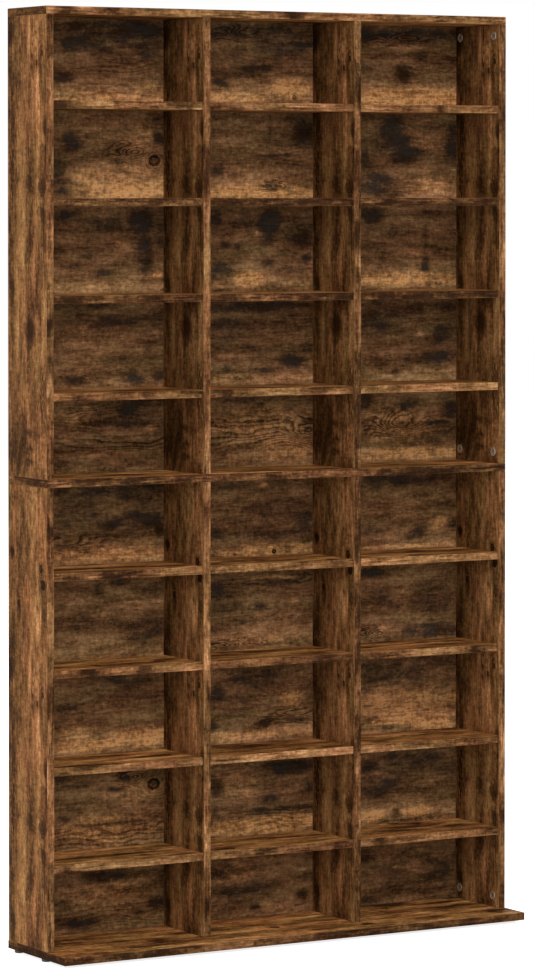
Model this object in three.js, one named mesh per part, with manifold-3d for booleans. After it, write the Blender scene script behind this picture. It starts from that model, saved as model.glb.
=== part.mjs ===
// Open storage tower for discs: two three-column units stacked on one deeper base plate.
// Millimetres, +Z up, the front faces -Y. The origin is under the middle of the base plate, on the floor.
import * as THREE from "three";
import { mergeVertices } from "three/addons/utils/BufferGeometryUtils.js";
import Module from "manifold-3d";

// Overall sizes
const bodyWidth = 1020;
const bodyDepth = 160;
const baseOverhang = 70;
const lowerUprightLength = 865;
const upperUprightLength = 865;

// Boards
const boardThickness = 15;
const backThickness = 3;
const shelfSetback = 3;
const backEdgeInset = 1;

// Clear heights of a unit's highest and lowest compartments; those between share the rest
const topCompartment = 160;
const bottomCompartment = 145;
const shelvesPerColumn = 4;

// Hairline between boards that meet, and the clearance round a pin in its hole
const seam = 0.2;
const pinClearance = 0.3;

// Glued dowels and the bites of all pins into the boards that they enter
const endDowelRadius = 4;
const shelfDowelRadius = 3;
const shelfDowelInset = 32;
const endDowelShares = [0.3, 0.7];
const pinBiteShare = 0.4;

// Cam locks: a slotted zinc disc with a rim, and the bolt that it draws in
const camRadius = 7.5;
const camRimWidth = 1.25;
const camRimThickness = 0.8;
const camFrontInset = 22;
const camRearInset = 15;
const camEndDistance = 22;
const camDepthShare = 0.8;
const camSlotLengthShare = 1.3;
const camSlotWidth = 1.6;
const camSlotDepth = 2;
const camBoltRadius = 3;

// Feet: round glides with a nail
const footHeight = 6;
const footRadius = 9;
const footChamfer = 1;
const footSideInset = 11;
const footDepthInset = 25;
const footNailRadius = 1.5;
const footNailShare = 0.5;

// Facets of round pieces, and how far a cut runs past the face that it opens
const pinSides = 8;
const discSides = 12;
const cutOverrun = 1;

// Names from left to right and from front to rear
const columnNames = ["left", "middle", "right"];
const uprightNames = ["side_left", "divider_left", "divider_right", "side_right"];
const rowNames = ["front", "rear"];

// Worked out from the sizes above
const columnCount = columnNames.length;
const clearWidth = (bodyWidth - (columnCount + 1) * boardThickness) / columnCount;
const uprightPitch = clearWidth + boardThickness;
const fullDepth = bodyDepth + baseOverhang;
const bodyFront = baseOverhang - fullDepth / 2;
const bodyRear = fullDepth / 2;
const uprightDepth = bodyDepth - backThickness;
const uprightRear = bodyFront + uprightDepth;
const lowerFloor = footHeight + boardThickness;
const middleUnderside = lowerFloor + lowerUprightLength;
const upperFloor = middleUnderside + boardThickness;
const topUnderside = upperFloor + upperUprightLength;
const pinBite = boardThickness * pinBiteShare;
const camDepth = boardThickness * camDepthShare;
const camPlaces = [bodyFront + camFrontInset, uprightRear - camRearInset];
const endDowelPlaces = endDowelShares.map((share) => camPlaces[0] + share * (camPlaces[1] - camPlaces[0]));

// Finishes, as seen in the photograph
const finishes = {
  oak: { color: 0x6e4c2e, roughness: 0.62, metalness: 0 },
  darkOak: { color: 0x4c331f, roughness: 0.68, metalness: 0 },
  zinc: { color: 0xa39a92, roughness: 0.42, metalness: 0.9 },
  glide: { color: 0x1f1a17, roughness: 0.55, metalness: 0 },
};

const wasm = await Module();
wasm.setup();

// A closed three.js geometry as a solid that can be joined and cut
function solidOf(geometry) {
  geometry.deleteAttribute("normal");
  geometry.deleteAttribute("uv");
  const merged = mergeVertices(geometry);
  const corners = merged.index.array;
  const kept = [];
  for (let i = 0; i < corners.length; i += 3) {
    const [a, b, c] = corners.slice(i, i + 3);
    if (a !== b && b !== c && c !== a) kept.push(a, b, c);
  }
  const vertProperties = new Float32Array(merged.attributes.position.array);
  return new wasm.Manifold(new wasm.Mesh({ numProp: 3, vertProperties, triVerts: new Uint32Array(kept) }));
}

// A solid as a mesh with its own material
function meshOf(name, solid, finish) {
  const { vertProperties, triVerts } = solid.getMesh();
  const indexed = new THREE.BufferGeometry();
  indexed.setAttribute("position", new THREE.BufferAttribute(vertProperties, 3));
  indexed.setIndex(new THREE.BufferAttribute(triVerts, 1));
  const geometry = indexed.toNonIndexed();
  geometry.computeVertexNormals();
  const mesh = new THREE.Mesh(geometry, new THREE.MeshStandardMaterial(finish));
  mesh.name = name;
  return mesh;
}

// A box from its lowest to its highest corner
function slab(low, high) {
  const [x, y, z] = high.map((value, i) => value - low[i]);
  const geometry = new THREE.BoxGeometry(x, y, z);
  geometry.translate(...high.map((value, i) => (value + low[i]) / 2));
  return solidOf(geometry);
}

// A round bar along X from one end to the other, at a given Y and Z
function barAlongX(radius, fromX, toX, y, z, sides = pinSides) {
  const geometry = new THREE.CylinderGeometry(radius, radius, toX - fromX, sides);
  geometry.rotateZ(-Math.PI / 2);
  geometry.translate((fromX + toX) / 2, y, z);
  return solidOf(geometry);
}

// A round bar along Z from one end to the other, at a given X and Y
function barAlongZ(radius, fromZ, toZ, x, y) {
  const geometry = new THREE.CylinderGeometry(radius, radius, toZ - fromZ, pinSides);
  geometry.rotateX(Math.PI / 2);
  geometry.translate(x, y, (fromZ + toZ) / 2);
  return solidOf(geometry);
}

function uprightX(index) {
  return (boardThickness - bodyWidth) / 2 + index * uprightPitch;
}

function isSide(index) {
  return index === 0 || index === columnCount;
}

// Undersides of a unit's shelves, from the highest down, above the unit's floor
function shelfHeights(uprightLength) {
  const shelved = shelvesPerColumn * boardThickness;
  const between = (uprightLength - topCompartment - bottomCompartment - shelved) / (shelvesPerColumn - 1);
  const highest = uprightLength - topCompartment - boardThickness;
  return Array.from({ length: shelvesPerColumn }, (_, i) => highest - i * (between + boardThickness));
}

function shelfDowelPlaces() {
  return [bodyFront + shelfSetback + shelfDowelInset, uprightRear - shelfDowelInset];
}

// The pins that join an upright's end to the board above or below it
function endPins(hasCams) {
  const radius = hasCams ? camBoltRadius : endDowelRadius;
  const bolts = camPlaces.map((y) => ({ y, radius, isBolt: hasCams }));
  const dowels = endDowelPlaces.map((y) => ({ y, radius: endDowelRadius, isBolt: false }));
  return [...bolts, ...dowels];
}

// A cross of two bars, cut into the face of a cam for the screwdriver
function camCross(faceX, inward, y, z) {
  const reach = (camRadius * camSlotLengthShare) / 2;
  const half = camSlotWidth / 2;
  const x = [faceX - inward * cutOverrun, faceX + inward * camSlotDepth].sort((a, b) => a - b);
  const upright = slab([x[0], y - half, z - reach], [x[1], y + half, z + reach]);
  const level = slab([x[0], y - reach, z - half], [x[1], y + reach, z + half]);
  return upright.add(level);
}

// The wide rim of a cam, which covers the edge of its bore
function camRim(fromX, toX, y, z) {
  return barAlongX(camRadius + camRimWidth, fromX, toX, y, z, discSides);
}

// Heights of the cams of one upright, with the way to the end that each one pulls on
function camHeights(unit) {
  const ends = [{ z: camEndDistance, toEnd: -1, name: "bottom" }];
  if (unit.hasTopCams) ends.push({ z: unit.length - camEndDistance, toEnd: 1, name: "top" });
  return ends;
}

// Side of an upright that its cams open on: the sides turn them inward, the dividers to the right
function camFaceSign(index) {
  return index === columnCount ? -1 : 1;
}

// Takes the holes of the shelf dowels out of an upright
function drillForShelves(panel, index, unit) {
  const x = uprightX(index);
  const half = boardThickness / 2;
  const fromX = index === 0 ? x : x - half - cutOverrun;
  const toX = index === columnCount ? x : x + half + cutOverrun;
  let drilled = panel;
  for (const underside of shelfHeights(unit.length)) {
    for (const y of shelfDowelPlaces()) {
      const hole = barAlongX(shelfDowelRadius + pinClearance, fromX, toX, y, underside + boardThickness / 2);
      drilled = drilled.subtract(hole);
    }
  }
  return drilled;
}

// Takes a side panel's cam bores and bolt bores out of it
function drillForCams(panel, index, unit) {
  const x = uprightX(index);
  const sign = camFaceSign(index);
  const face = x + (sign * boardThickness) / 2;
  const deep = face - sign * (camDepth + pinClearance);
  const mouth = face + sign * cutOverrun;
  let drilled = panel;
  for (const end of camHeights(unit)) {
    const outerEnd = end.toEnd < 0 ? -cutOverrun : unit.length + cutOverrun;
    for (const y of camPlaces) {
      const [fromX, toX] = [deep, mouth].sort((a, b) => a - b);
      const bore = barAlongX(camRadius + pinClearance, fromX, toX, y, end.z, discSides);
      const [fromZ, toZ] = [outerEnd, end.z].sort((a, b) => a - b);
      drilled = drilled.subtract(bore).subtract(barAlongZ(camBoltRadius + pinClearance, fromZ, toZ, x, y));
    }
  }
  return drilled;
}

// Joins a divider's cams to it, as discs whose rims and crosses show on its right face
function addCamFaces(panel, index, unit) {
  const face = uprightX(index) + boardThickness / 2;
  let marked = panel;
  for (const end of camHeights(unit)) {
    for (const y of camPlaces) {
      const rim = camRim(face - camSlotDepth, face + camRimThickness, y, end.z);
      marked = marked.add(rim).subtract(camCross(face + camRimThickness, -1, y, end.z));
    }
  }
  return marked;
}

// Adds the pins that stand out of one end of an upright; a side panel's bolts belong to its cams
function addEndPins(panel, index, unit, atTop) {
  const root = atTop ? unit.length - seam - cutOverrun : seam + cutOverrun;
  const tip = atTop ? unit.length + pinBite : -pinBite;
  const [fromZ, toZ] = [root, tip].sort((a, b) => a - b);
  let pinned = panel;
  for (const pin of endPins(atTop ? unit.hasTopCams : true)) {
    if (pin.isBolt && isSide(index)) continue;
    pinned = pinned.add(barAlongZ(pin.radius, fromZ, toZ, uprightX(index), pin.y));
  }
  return pinned;
}

// A side panel or divider of one unit
function upright(index, unit) {
  const x = uprightX(index);
  const half = boardThickness / 2;
  const low = [x - half, bodyFront, seam];
  const high = [x + half, uprightRear, unit.length - seam];
  let panel = drillForShelves(slab(low, high), index, unit);
  panel = isSide(index) ? drillForCams(panel, index, unit) : addCamFaces(panel, index, unit);
  panel = addEndPins(panel, index, unit, false);
  panel = addEndPins(panel, index, unit, true);
  const [kind, hand] = uprightNames[index].split("_");
  return meshOf(`${unit.name}_${kind}_${hand}`, panel, finishes.oak);
}

// A shelf on its origin's column, with two dowels in each end; it is placed by its position
function shelf(name) {
  const half = clearWidth / 2 - seam;
  const front = bodyFront + shelfSetback;
  let plate = slab([-half, front, -boardThickness / 2], [half, uprightRear - seam, boardThickness / 2]);
  const reach = (clearWidth + boardThickness) / 2 - pinClearance;
  for (const y of shelfDowelPlaces()) {
    plate = plate.add(barAlongX(shelfDowelRadius, -reach, -half + cutOverrun, y, 0));
    plate = plate.add(barAlongX(shelfDowelRadius, half - cutOverrun, reach, y, 0));
  }
  return meshOf(name, plate, finishes.oak);
}

// The cam and bolt that hold one place of a side panel's end, as one connector
function camLock(index, unit, end, row) {
  const x = uprightX(index);
  const y = camPlaces[row];
  const sign = camFaceSign(index);
  const face = x + (sign * boardThickness) / 2;
  const crown = face + sign * camRimThickness;
  const span = (a, b) => [a, b].sort((p, q) => p - q);
  const disc = barAlongX(camRadius, ...span(face - sign * camDepth, crown), y, end.z, discSides);
  const rim = camRim(...span(face + sign * seam, crown), y, end.z);
  const tip = end.toEnd < 0 ? -pinBite : unit.length + pinBite;
  const bolt = barAlongZ(camBoltRadius, ...span(end.z, tip), x, y);
  const lock = disc.add(rim).add(bolt).subtract(camCross(crown, -sign, y, end.z));
  const hand = index === 0 ? "left" : "right";
  return meshOf(`cam_lock_${unit.name}_${hand}_${end.name}_${rowNames[row]}`, lock, finishes.zinc);
}

// The thin back of one column of a unit, nailed on the rear edges
function backPanel(column, unit) {
  const left = column === 0 ? backEdgeInset - bodyWidth / 2 : uprightX(column) + seam;
  const right = column === columnCount - 1 ? bodyWidth / 2 - backEdgeInset : uprightX(column + 1) - seam;
  const low = [left, uprightRear + seam, unit.backFrom];
  const panel = slab(low, [right, bodyRear, unit.backTo]);
  return meshOf(`back_${unit.name}_${columnNames[column]}`, panel, finishes.darkOak);
}

// One unit of uprights, shelves, backs and cam locks, standing on the board at its group's height
function makeUnit(unit) {
  const group = new THREE.Group();
  group.position.z = unit.floor;
  for (let index = 0; index <= columnCount; index += 1) {
    group.add(upright(index, unit));
    if (!isSide(index)) continue;
    for (const end of camHeights(unit)) {
      rowNames.forEach((_, row) => group.add(camLock(index, unit, end, row)));
    }
  }
  for (let column = 0; column < columnCount; column += 1) {
    shelfHeights(unit.length).forEach((underside, i) => {
      const mesh = shelf(`shelf_${unit.name}_${columnNames[column]}_${i + 1}`);
      mesh.position.x = (uprightX(column) + uprightX(column + 1)) / 2;
      mesh.position.z = underside + boardThickness / 2;
      group.add(mesh);
    });
    group.add(backPanel(column, unit));
  }
  return group;
}

// Takes the holes of every upright's pins out of a board, at its upper or lower face
function drillForUprights(plate, faceZ, upward, hasCams) {
  const depth = pinBite + pinClearance;
  const [fromZ, toZ] = upward ? [faceZ - depth, faceZ + cutOverrun] : [faceZ - cutOverrun, faceZ + depth];
  let drilled = plate;
  for (let index = 0; index <= columnCount; index += 1) {
    for (const pin of endPins(hasCams)) {
      drilled = drilled.subtract(barAlongZ(pin.radius + pinClearance, fromZ, toZ, uprightX(index), pin.y));
    }
  }
  return drilled;
}

function footPlaces() {
  const xs = [footSideInset - bodyWidth / 2, 0, bodyWidth / 2 - footSideInset];
  const ys = [bodyFront + footDepthInset, bodyRear - footDepthInset];
  const nameAt = (column, row) => `${columnNames[column]}_${rowNames[row]}`;
  return xs.flatMap((x, column) => ys.map((y, row) => ({ x, y, name: nameAt(column, row) })));
}

// A nail-on glide, turned about its own axis and placed by its position
function foot(place) {
  const nailTop = footHeight + boardThickness * footNailShare;
  const profile = [
    [0, 0],
    [footRadius - footChamfer, 0],
    [footRadius, footChamfer],
    [footRadius, footHeight - seam],
    [footNailRadius, footHeight - seam],
    [footNailRadius, nailTop],
    [0, nailTop],
  ];
  const geometry = new THREE.LatheGeometry(profile.map(([r, z]) => new THREE.Vector2(r, z)), discSides);
  geometry.rotateX(Math.PI / 2);
  const mesh = meshOf(`foot_${place.name}`, solidOf(geometry), finishes.glide);
  mesh.position.set(place.x, place.y, 0);
  return mesh;
}

function basePlate() {
  const low = [-bodyWidth / 2, -fullDepth / 2, footHeight];
  let plate = slab(low, [bodyWidth / 2, bodyRear, lowerFloor]);
  plate = drillForUprights(plate, lowerFloor, true, true);
  const nailRoom = boardThickness * footNailShare + pinClearance;
  for (const { x, y } of footPlaces()) {
    const hole = [footHeight - cutOverrun, footHeight + nailRoom, x, y];
    plate = plate.subtract(barAlongZ(footNailRadius + pinClearance, ...hole));
  }
  return meshOf("base_plate", plate, finishes.oak);
}

function middleBoard() {
  let plate = slab([-bodyWidth / 2, bodyFront, middleUnderside], [bodyWidth / 2, uprightRear, upperFloor]);
  plate = drillForUprights(plate, middleUnderside, false, false);
  plate = drillForUprights(plate, upperFloor, true, true);
  return meshOf("middle_board", plate, finishes.oak);
}

function topBoard() {
  const high = [bodyWidth / 2, uprightRear, topUnderside + boardThickness];
  const plate = slab([-bodyWidth / 2, bodyFront, topUnderside], high);
  return meshOf("top_board", drillForUprights(plate, topUnderside, false, true), finishes.oak);
}

// The lower unit's top ends are dowelled only; every other end is drawn in by cams as well
const lowerUnit = {
  name: "lower",
  floor: lowerFloor,
  length: lowerUprightLength,
  hasTopCams: false,
  backFrom: seam,
  backTo: lowerUprightLength + boardThickness / 2 - seam,
};
const upperUnit = {
  name: "upper",
  floor: upperFloor,
  length: upperUprightLength,
  hasTopCams: true,
  backFrom: seam - boardThickness / 2,
  backTo: upperUprightLength + boardThickness - backEdgeInset,
};

const tower = new THREE.Group();
tower.add(basePlate(), middleBoard(), topBoard());
tower.add(makeUnit(lowerUnit), makeUnit(upperUnit));
tower.add(...footPlaces().map(foot));

export default tower;
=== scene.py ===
# Add-on that dresses an open disc storage tower in smoked oak decor board, zinc cams and plastic glides
import math
import random
from functools import partial

import bmesh
import bpy
import numpy as np
from bpy.props import FloatProperty, FloatVectorProperty, PointerProperty
from mathutils import Matrix, Vector


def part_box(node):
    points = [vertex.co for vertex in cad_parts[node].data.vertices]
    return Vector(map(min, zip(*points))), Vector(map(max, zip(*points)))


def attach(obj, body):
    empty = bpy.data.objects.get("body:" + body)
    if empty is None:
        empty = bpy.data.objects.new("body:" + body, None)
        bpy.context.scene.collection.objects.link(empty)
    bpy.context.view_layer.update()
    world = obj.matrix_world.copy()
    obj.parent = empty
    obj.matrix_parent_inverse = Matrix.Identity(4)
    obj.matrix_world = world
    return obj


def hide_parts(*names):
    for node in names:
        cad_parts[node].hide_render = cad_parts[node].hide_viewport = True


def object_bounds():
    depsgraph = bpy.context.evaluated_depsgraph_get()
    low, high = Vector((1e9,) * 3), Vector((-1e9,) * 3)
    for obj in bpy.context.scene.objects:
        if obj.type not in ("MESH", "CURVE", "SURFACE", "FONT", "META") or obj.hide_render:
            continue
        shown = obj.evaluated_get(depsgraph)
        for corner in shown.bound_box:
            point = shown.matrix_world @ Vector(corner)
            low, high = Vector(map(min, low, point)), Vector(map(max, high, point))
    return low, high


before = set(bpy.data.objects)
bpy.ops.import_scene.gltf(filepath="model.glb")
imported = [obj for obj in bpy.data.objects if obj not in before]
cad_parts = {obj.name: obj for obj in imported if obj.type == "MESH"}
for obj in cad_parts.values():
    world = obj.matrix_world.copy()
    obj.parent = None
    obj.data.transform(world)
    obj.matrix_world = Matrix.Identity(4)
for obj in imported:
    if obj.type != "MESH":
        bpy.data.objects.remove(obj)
cad_low, cad_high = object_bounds()

bl_info = {
    "name": "Disc storage tower",
    "version": (1, 0, 0),
    "blender": (4, 5, 0),
    "location": "View3D > Sidebar > Disc tower",
    "description": "Boards, backs, cams, glides and nails of a disc storage tower in smoked oak decor",
    "category": "Object",
}

UNITS = ("lower", "upper")
COLUMNS = ("left", "middle", "right")
UPRIGHTS = ("side_left", "divider_left", "divider_right", "side_right")
LONG_BOARDS = ("base_plate", "middle_board", "top_board")
SHELF_NUMBERS = (1, 2, 3, 4)
ROWS = ("front", "rear")
CAM_ENDS = {"lower": ("bottom",), "upper": ("bottom", "top")}
X, Y, Z = range(3)

# The boards' thickness and the heights between which each unit stands, read from the frame
PLATE, MIDDLE, TOP = (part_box(node) for node in LONG_BOARDS)
BOARD = PLATE[1].z - PLATE[0].z
FLOORS = {"lower": PLATE[1].z, "upper": MIDDLE[1].z}
CEILINGS = {"lower": MIDDLE[0].z, "upper": TOP[0].z}
JOINT_GAP = 0.0002
BACK_CELL_SHARE = 0.8

# Marks of the decor sheets, with places and sizes in millimetres and strengths in hundredths.
# Smoke, wear and lines are soft marks: along the grain, across it, half length, half width, strength. A knot
# is along, across, radius, and a swirl along, across, length, width, number of rings. On a back panel, along
# is measured from the column's middle and across from the unit's floor. On the back panels the smoke marks
# along the top of each compartment are partly painted shadow of the shelf above. The wear marks along the
# bottom of each compartment are partly a painted pool of light from above in front.
BACK_MARKS = {
    "upper_left": {
        "smoke_and_shadow": (
            (-35, 818, 30, 18, 95), (110, 836, 70, 28, 95), (30, 842, 170, 22, 80), (20, 812, 80, 12, 60),
            (130, 800, 28, 12, 75), (-55, 750, 26, 7, 95), (40, 740, 70, 4, 50), (-40, 630, 20, 18, 105),
            (150, 640, 14, 12, 100), (60, 592, 18, 5, 100), (-5, 640, 6, 5, 70), (75, 572, 14, 6, 50),
            (-70, 570, 24, 40, 60), (-62, 536, 16, 9, 80), (0, 672, 6, 10, 50), (145, 676, 8, 5, 70),
            (-50, 492, 26, 12, 80), (30, 474, 55, 20, 50), (112, 476, 26, 24, 115), (120, 425, 18, 28, 105),
            (120, 392, 14, 14, 80), (156, 455, 14, 30, 70), (0, 412, 20, 7, 70), (30, 380, 24, 7, 75),
            (-30, 395, 30, 6, 40), (60, 290, 140, 10, 60), (30, 316, 50, 6, 60), (-30, 176, 20, 10, 75),
            (92, 176, 28, 12, 85), (152, 182, 16, 10, 70), (125, 235, 10, 7, 80), (70, 218, 8, 6, 80),
            (90, 120, 34, 16, 85), (85, 90, 60, 8, 65), (0, 118, 70, 24, 40), (-130, 700, 40, 60, 50),
        ),
        "wear_and_light": (
            (50, 715, 200, 13, 98), (130, 735, 40, 14, 90), (70, 540, 110, 22, 130),
            (150, 560, 30, 16, 100), (40, 640, 80, 40, 36), (68, 430, 18, 18, 72), (20, 354, 200, 10, 54),
            (146, 376, 16, 7, 120), (30, 240, 120, 28, 54), (132, 82, 12, 6, 132), (30, 36, 70, 8, 72),
            (-45, 70, 26, 10, 60), (20, 660, 110, 30, 45), (80, 572, 110, 36, 75), (60, 728, 160, 22, 55),
            (-30, 110, 60, 30, 78), (110, 640, 50, 35, 75), (-20, 240, 60, 60, 48), (0, 560, 50, 28, 95),
        ),
        "lines": ((50, 55, 240, 14, 100), (-10, 105, 70, 30, 70), (80, 775, 60, 20, 40)),
        "knots": ((140, 595, 9.5),),
        "swirls": ((80, 610, 34, 20, 4.5),),
    },
    "upper_middle": {
        "smoke_and_shadow": (
            (40, 845, 160, 22, 55), (132, 825, 44, 7, 105), (100, 810, 30, 5, 90), (30, 776, 40, 6, 85),
            (-50, 745, 20, 8, 95), (-20, 800, 60, 20, 35), (140, 655, 30, 36, 85), (62, 650, 6, 28, 45),
            (70, 606, 32, 4, 95), (-60, 572, 22, 9, 95), (-48, 588, 10, 12, 50), (64, 545, 18, 7, 110),
            (-60, 485, 14, 14, 90), (5, 482, 30, 18, 50), (62, 478, 26, 22, 120), (58, 446, 16, 13, 105),
            (-38, 432, 12, 7, 80), (-8, 428, 12, 7, 80), (130, 455, 34, 32, 75), (60, 395, 20, 9, 70),
            (145, 405, 10, 9, 90), (-50, 385, 30, 14, 80), (100, 385, 50, 8, 45), (50, 312, 180, 12, 75),
            (-30, 270, 45, 24, 60), (114, 205, 24, 10, 115), (38, 188, 26, 4, 100), (-36, 192, 8, 8, 80),
            (150, 235, 20, 20, 40), (30, 132, 100, 10, 55), (42, 121, 12, 4, 90), (90, 818, 80, 24, 70),
            (-60, 330, 60, 30, 50),
        ),
        "wear_and_light": (
            (110, 738, 55, 22, 135), (0, 718, 100, 12, 115), (30, 536, 160, 16, 140),
            (-20, 640, 50, 30, 36), (34, 455, 4, 4, 144), (18, 366, 40, 18, 140), (130, 355, 50, 12, 50),
            (-55, 355, 20, 8, 72), (50, 172, 170, 10, 66), (-20, 216, 50, 8, 54), (-30, 96, 60, 8, 72),
            (105, 68, 26, 12, 72), (0, 20, 100, 14, 54), (0, 610, 90, 40, 45), (40, 735, 160, 26, 50),
            (30, 560, 110, 22, 45), (40, 80, 150, 50, 88), (100, 35, 80, 28, 110),
        ),
        "lines": ((0, 70, 200, 30, 110), (0, 845, 60, 16, 80), (110, 610, 50, 20, 40)),
        "knots": ((118, 720, 4),),
        "swirls": ((120, 66, 50, 28, 5), (70, 545, 30, 12, 3.5), (-20, 842, 40, 14, 3.5)),
    },
    "upper_right": {
        "smoke_and_shadow": (
            (-50, 845, 28, 16, 100), (60, 850, 120, 12, 75), (35, 770, 20, 16, 90), (-55, 776, 22, 14, 50),
            (80, 805, 22, 8, 50), (10, 658, 30, 24, 105), (42, 608, 36, 16, 110), (26, 634, 24, 20, 105),
            (-10, 620, 30, 20, 70), (152, 635, 18, 38, 85), (-50, 600, 30, 30, 45), (-25, 550, 46, 28, 85),
            (10, 526, 14, 10, 90), (-40, 486, 26, 14, 95), (92, 494, 30, 5, 70), (88, 445, 5, 30, 60),
            (88, 390, 9, 14, 115), (-8, 402, 16, 14, 65), (20, 455, 40, 20, 35), (-25, 285, 50, 30, 75),
            (125, 252, 26, 18, 90), (70, 310, 120, 10, 60), (120, 205, 50, 16, 75), (18, 178, 11, 8, 75),
            (-55, 125, 22, 16, 75), (50, 111, 26, 10, 105), (146, 100, 18, 16, 95), (112, 74, 30, 4, 105),
            (-50, 72, 20, 14, 50), (75, 38, 60, 6, 40), (0, 300, 70, 30, 55), (10, 840, 110, 14, 50),
        ),
        "wear_and_light": (
            (50, 724, 200, 19, 170), (20, 820, 80, 3, 72), (95, 630, 26, 16, 72), (105, 548, 60, 20, 88),
            (60, 415, 40, 10, 60), (60, 380, 14, 16, 72), (20, 362, 200, 16, 110), (76, 252, 10, 5, 108),
            (60, 178, 160, 16, 42), (65, 76, 40, 12, 96), (50, 16, 200, 13, 120), (100, 125, 20, 14, 42),
            (60, 740, 140, 22, 55), (90, 570, 80, 30, 26), (15, 75, 110, 50, 82),
        ),
        "lines": ((60, 78, 80, 20, 60), (20, 838, 60, 10, 70), (90, 780, 50, 20, 35)),
        "swirls": ((0, 76, 50, 24, 5), (20, 838, 50, 12, 3)),
    },
    "lower_left": {
        "smoke_and_shadow": (
            (40, 845, 180, 20, 62), (45, 782, 28, 13, 101), (-10, 800, 60, 20, 44), (125, 790, 50, 22, 75),
            (152, 770, 14, 12, 62), (20, 655, 12, 16, 75), (60, 668, 30, 9, 66), (125, 655, 45, 12, 57),
            (0, 590, 60, 18, 40), (115, 575, 55, 26, 58), (-50, 433, 24, 7, 92), (80, 478, 110, 10, 66),
            (90, 440, 90, 20, 35), (-40, 404, 40, 10, 35), (-55, 298, 22, 7, 84), (60, 270, 18, 4, 88),
            (76, 290, 12, 8, 75), (-60, 222, 14, 9, 84), (70, 206, 120, 3, 70), (100, 182, 100, 4, 48),
            (30, 105, 56, 11, 97), (-50, 100, 30, 14, 35), (142, 44, 18, 12, 84), (-50, 64, 20, 16, 44),
            (-25, 20, 50, 7, 75), (100, 30, 40, 6, 44), (-40, 800, 70, 45, 50), (60, 480, 110, 20, 45),
        ),
        "wear_and_light": (
            (40, 722, 200, 16, 120), (122, 745, 34, 13, 72), (120, 628, 50, 4, 96), (80, 644, 30, 6, 48),
            (110, 369, 80, 22, 130), (-10, 358, 100, 12, 140), (60, 245, 90, 26, 54), (-20, 191, 70, 4, 96),
            (120, 128, 80, 6, 60), (50, 70, 60, 12, 36), (60, 610, 110, 45, 40), (-10, 150, 80, 20, 40),
            (50, 740, 130, 24, 45), (50, 385, 120, 20, 50), (-30, 385, 50, 20, 95), (40, 200, 130, 34, 102),
            (100, 262, 60, 28, 80), (40, 70, 120, 40, 82),
        ),
        "lines": ((-10, 748, 50, 12, 90), (40, 180, 160, 24, 90), (60, 30, 120, 20, 50)),
        "knots": ((138, 275, 10),),
        "swirls": ((84, 290, 32, 14, 4), (-88, 746, 60, 14, 3.5)),
    },
    "lower_middle": {
        "smoke_and_shadow": (
            (-30, 850, 50, 16, 62), (110, 848, 70, 12, 48), (60, 747, 120, 12, 62), (-55, 752, 26, 14, 53),
            (145, 770, 26, 20, 62), (-55, 645, 20, 18, 88), (70, 652, 100, 5, 70), (-35, 608, 44, 12, 57),
            (36, 605, 20, 9, 88), (135, 660, 40, 12, 53), (0, 580, 50, 8, 35), (30, 468, 55, 18, 75),
            (-56, 440, 20, 18, 70), (0, 424, 30, 10, 44), (50, 378, 22, 9, 84), (-66, 377, 10, 8, 84),
            (122, 399, 12, 5, 79), (0, 406, 34, 4, 53), (125, 380, 34, 5, 53), (110, 287, 60, 16, 84),
            (-52, 254, 20, 16, 79), (62, 226, 18, 10, 106), (42, 208, 20, 7, 84), (125, 208, 60, 4, 75),
            (155, 245, 16, 16, 53), (-60, 205, 10, 14, 53), (10, 55, 66, 16, 79), (-35, 92, 45, 16, 42),
            (136, 36, 13, 12, 92), (30, 18, 12, 6, 84), (-60, 640, 50, 34, 50), (70, 790, 100, 40, 40),
        ),
        "wear_and_light": (
            (60, 716, 140, 12, 110), (50, 843, 12, 5, 132), (30, 800, 80, 24, 36), (80, 662, 90, 3, 84),
            (114, 614, 18, 5, 108), (40, 548, 140, 18, 66), (110, 424, 34, 24, 115),
            (20, 357, 200, 11, 100), (10, 252, 26, 26, 72), (64, 227, 6, 4, 120), (50, 178, 170, 18, 140),
            (100, 80, 40, 20, 48), (80, 16, 60, 8, 54), (70, 590, 90, 30, 50), (-10, 800, 80, 35, 45),
            (80, 390, 110, 40, 45), (-10, 262, 60, 30, 85), (-20, 85, 50, 28, 78),
        ),
        "lines": ((70, 655, 110, 10, 80), (110, 388, 60, 16, 90), (80, 190, 90, 20, 70)),
        "knots": ((72, 713, 4),),
        "swirls": ((-12, 534, 60, 12, 7), (100, 392, 46, 14, 3.5)),
    },
    "lower_right": {
        "smoke_and_shadow": (
            (20, 845, 140, 18, 70), (-45, 745, 28, 10, 79), (76, 738, 17, 13, 97), (50, 728, 20, 6, 75),
            (155, 755, 12, 12, 88), (-40, 660, 30, 10, 84), (-10, 610, 50, 22, 40), (5, 600, 10, 7, 70),
            (22, 590, 8, 7, 70), (115, 600, 55, 36, 53), (30, 560, 40, 12, 35), (20, 462, 75, 26, 75),
            (110, 478, 60, 12, 53), (-50, 430, 26, 10, 44), (5, 352, 22, 5, 92), (10, 292, 26, 11, 88),
            (80, 285, 90, 18, 70), (-20, 235, 50, 18, 84), (-45, 275, 30, 20, 53), (20, 184, 10, 10, 70),
            (140, 262, 30, 20, 48), (10, 56, 65, 30, 36), (-50, 98, 26, 16, 44), (115, 60, 50, 30, 53),
            (-50, 10, 26, 7, 62), (0, 470, 100, 26, 60), (-20, 240, 70, 40, 40), (95, 542, 70, 20, 80),
        ),
        "wear_and_light": (
            (50, 711, 160, 6, 96), (120, 752, 22, 16, 130), (0, 805, 80, 18, 36), (36, 622, 12, 6, 108),
            (-10, 548, 12, 5, 108), (-50, 585, 20, 10, 48), (40, 398, 180, 32, 125),
            (60, 364, 120, 12, 150), (-34, 177, 34, 12, 150), (66, 180, 36, 13, 160),
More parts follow.
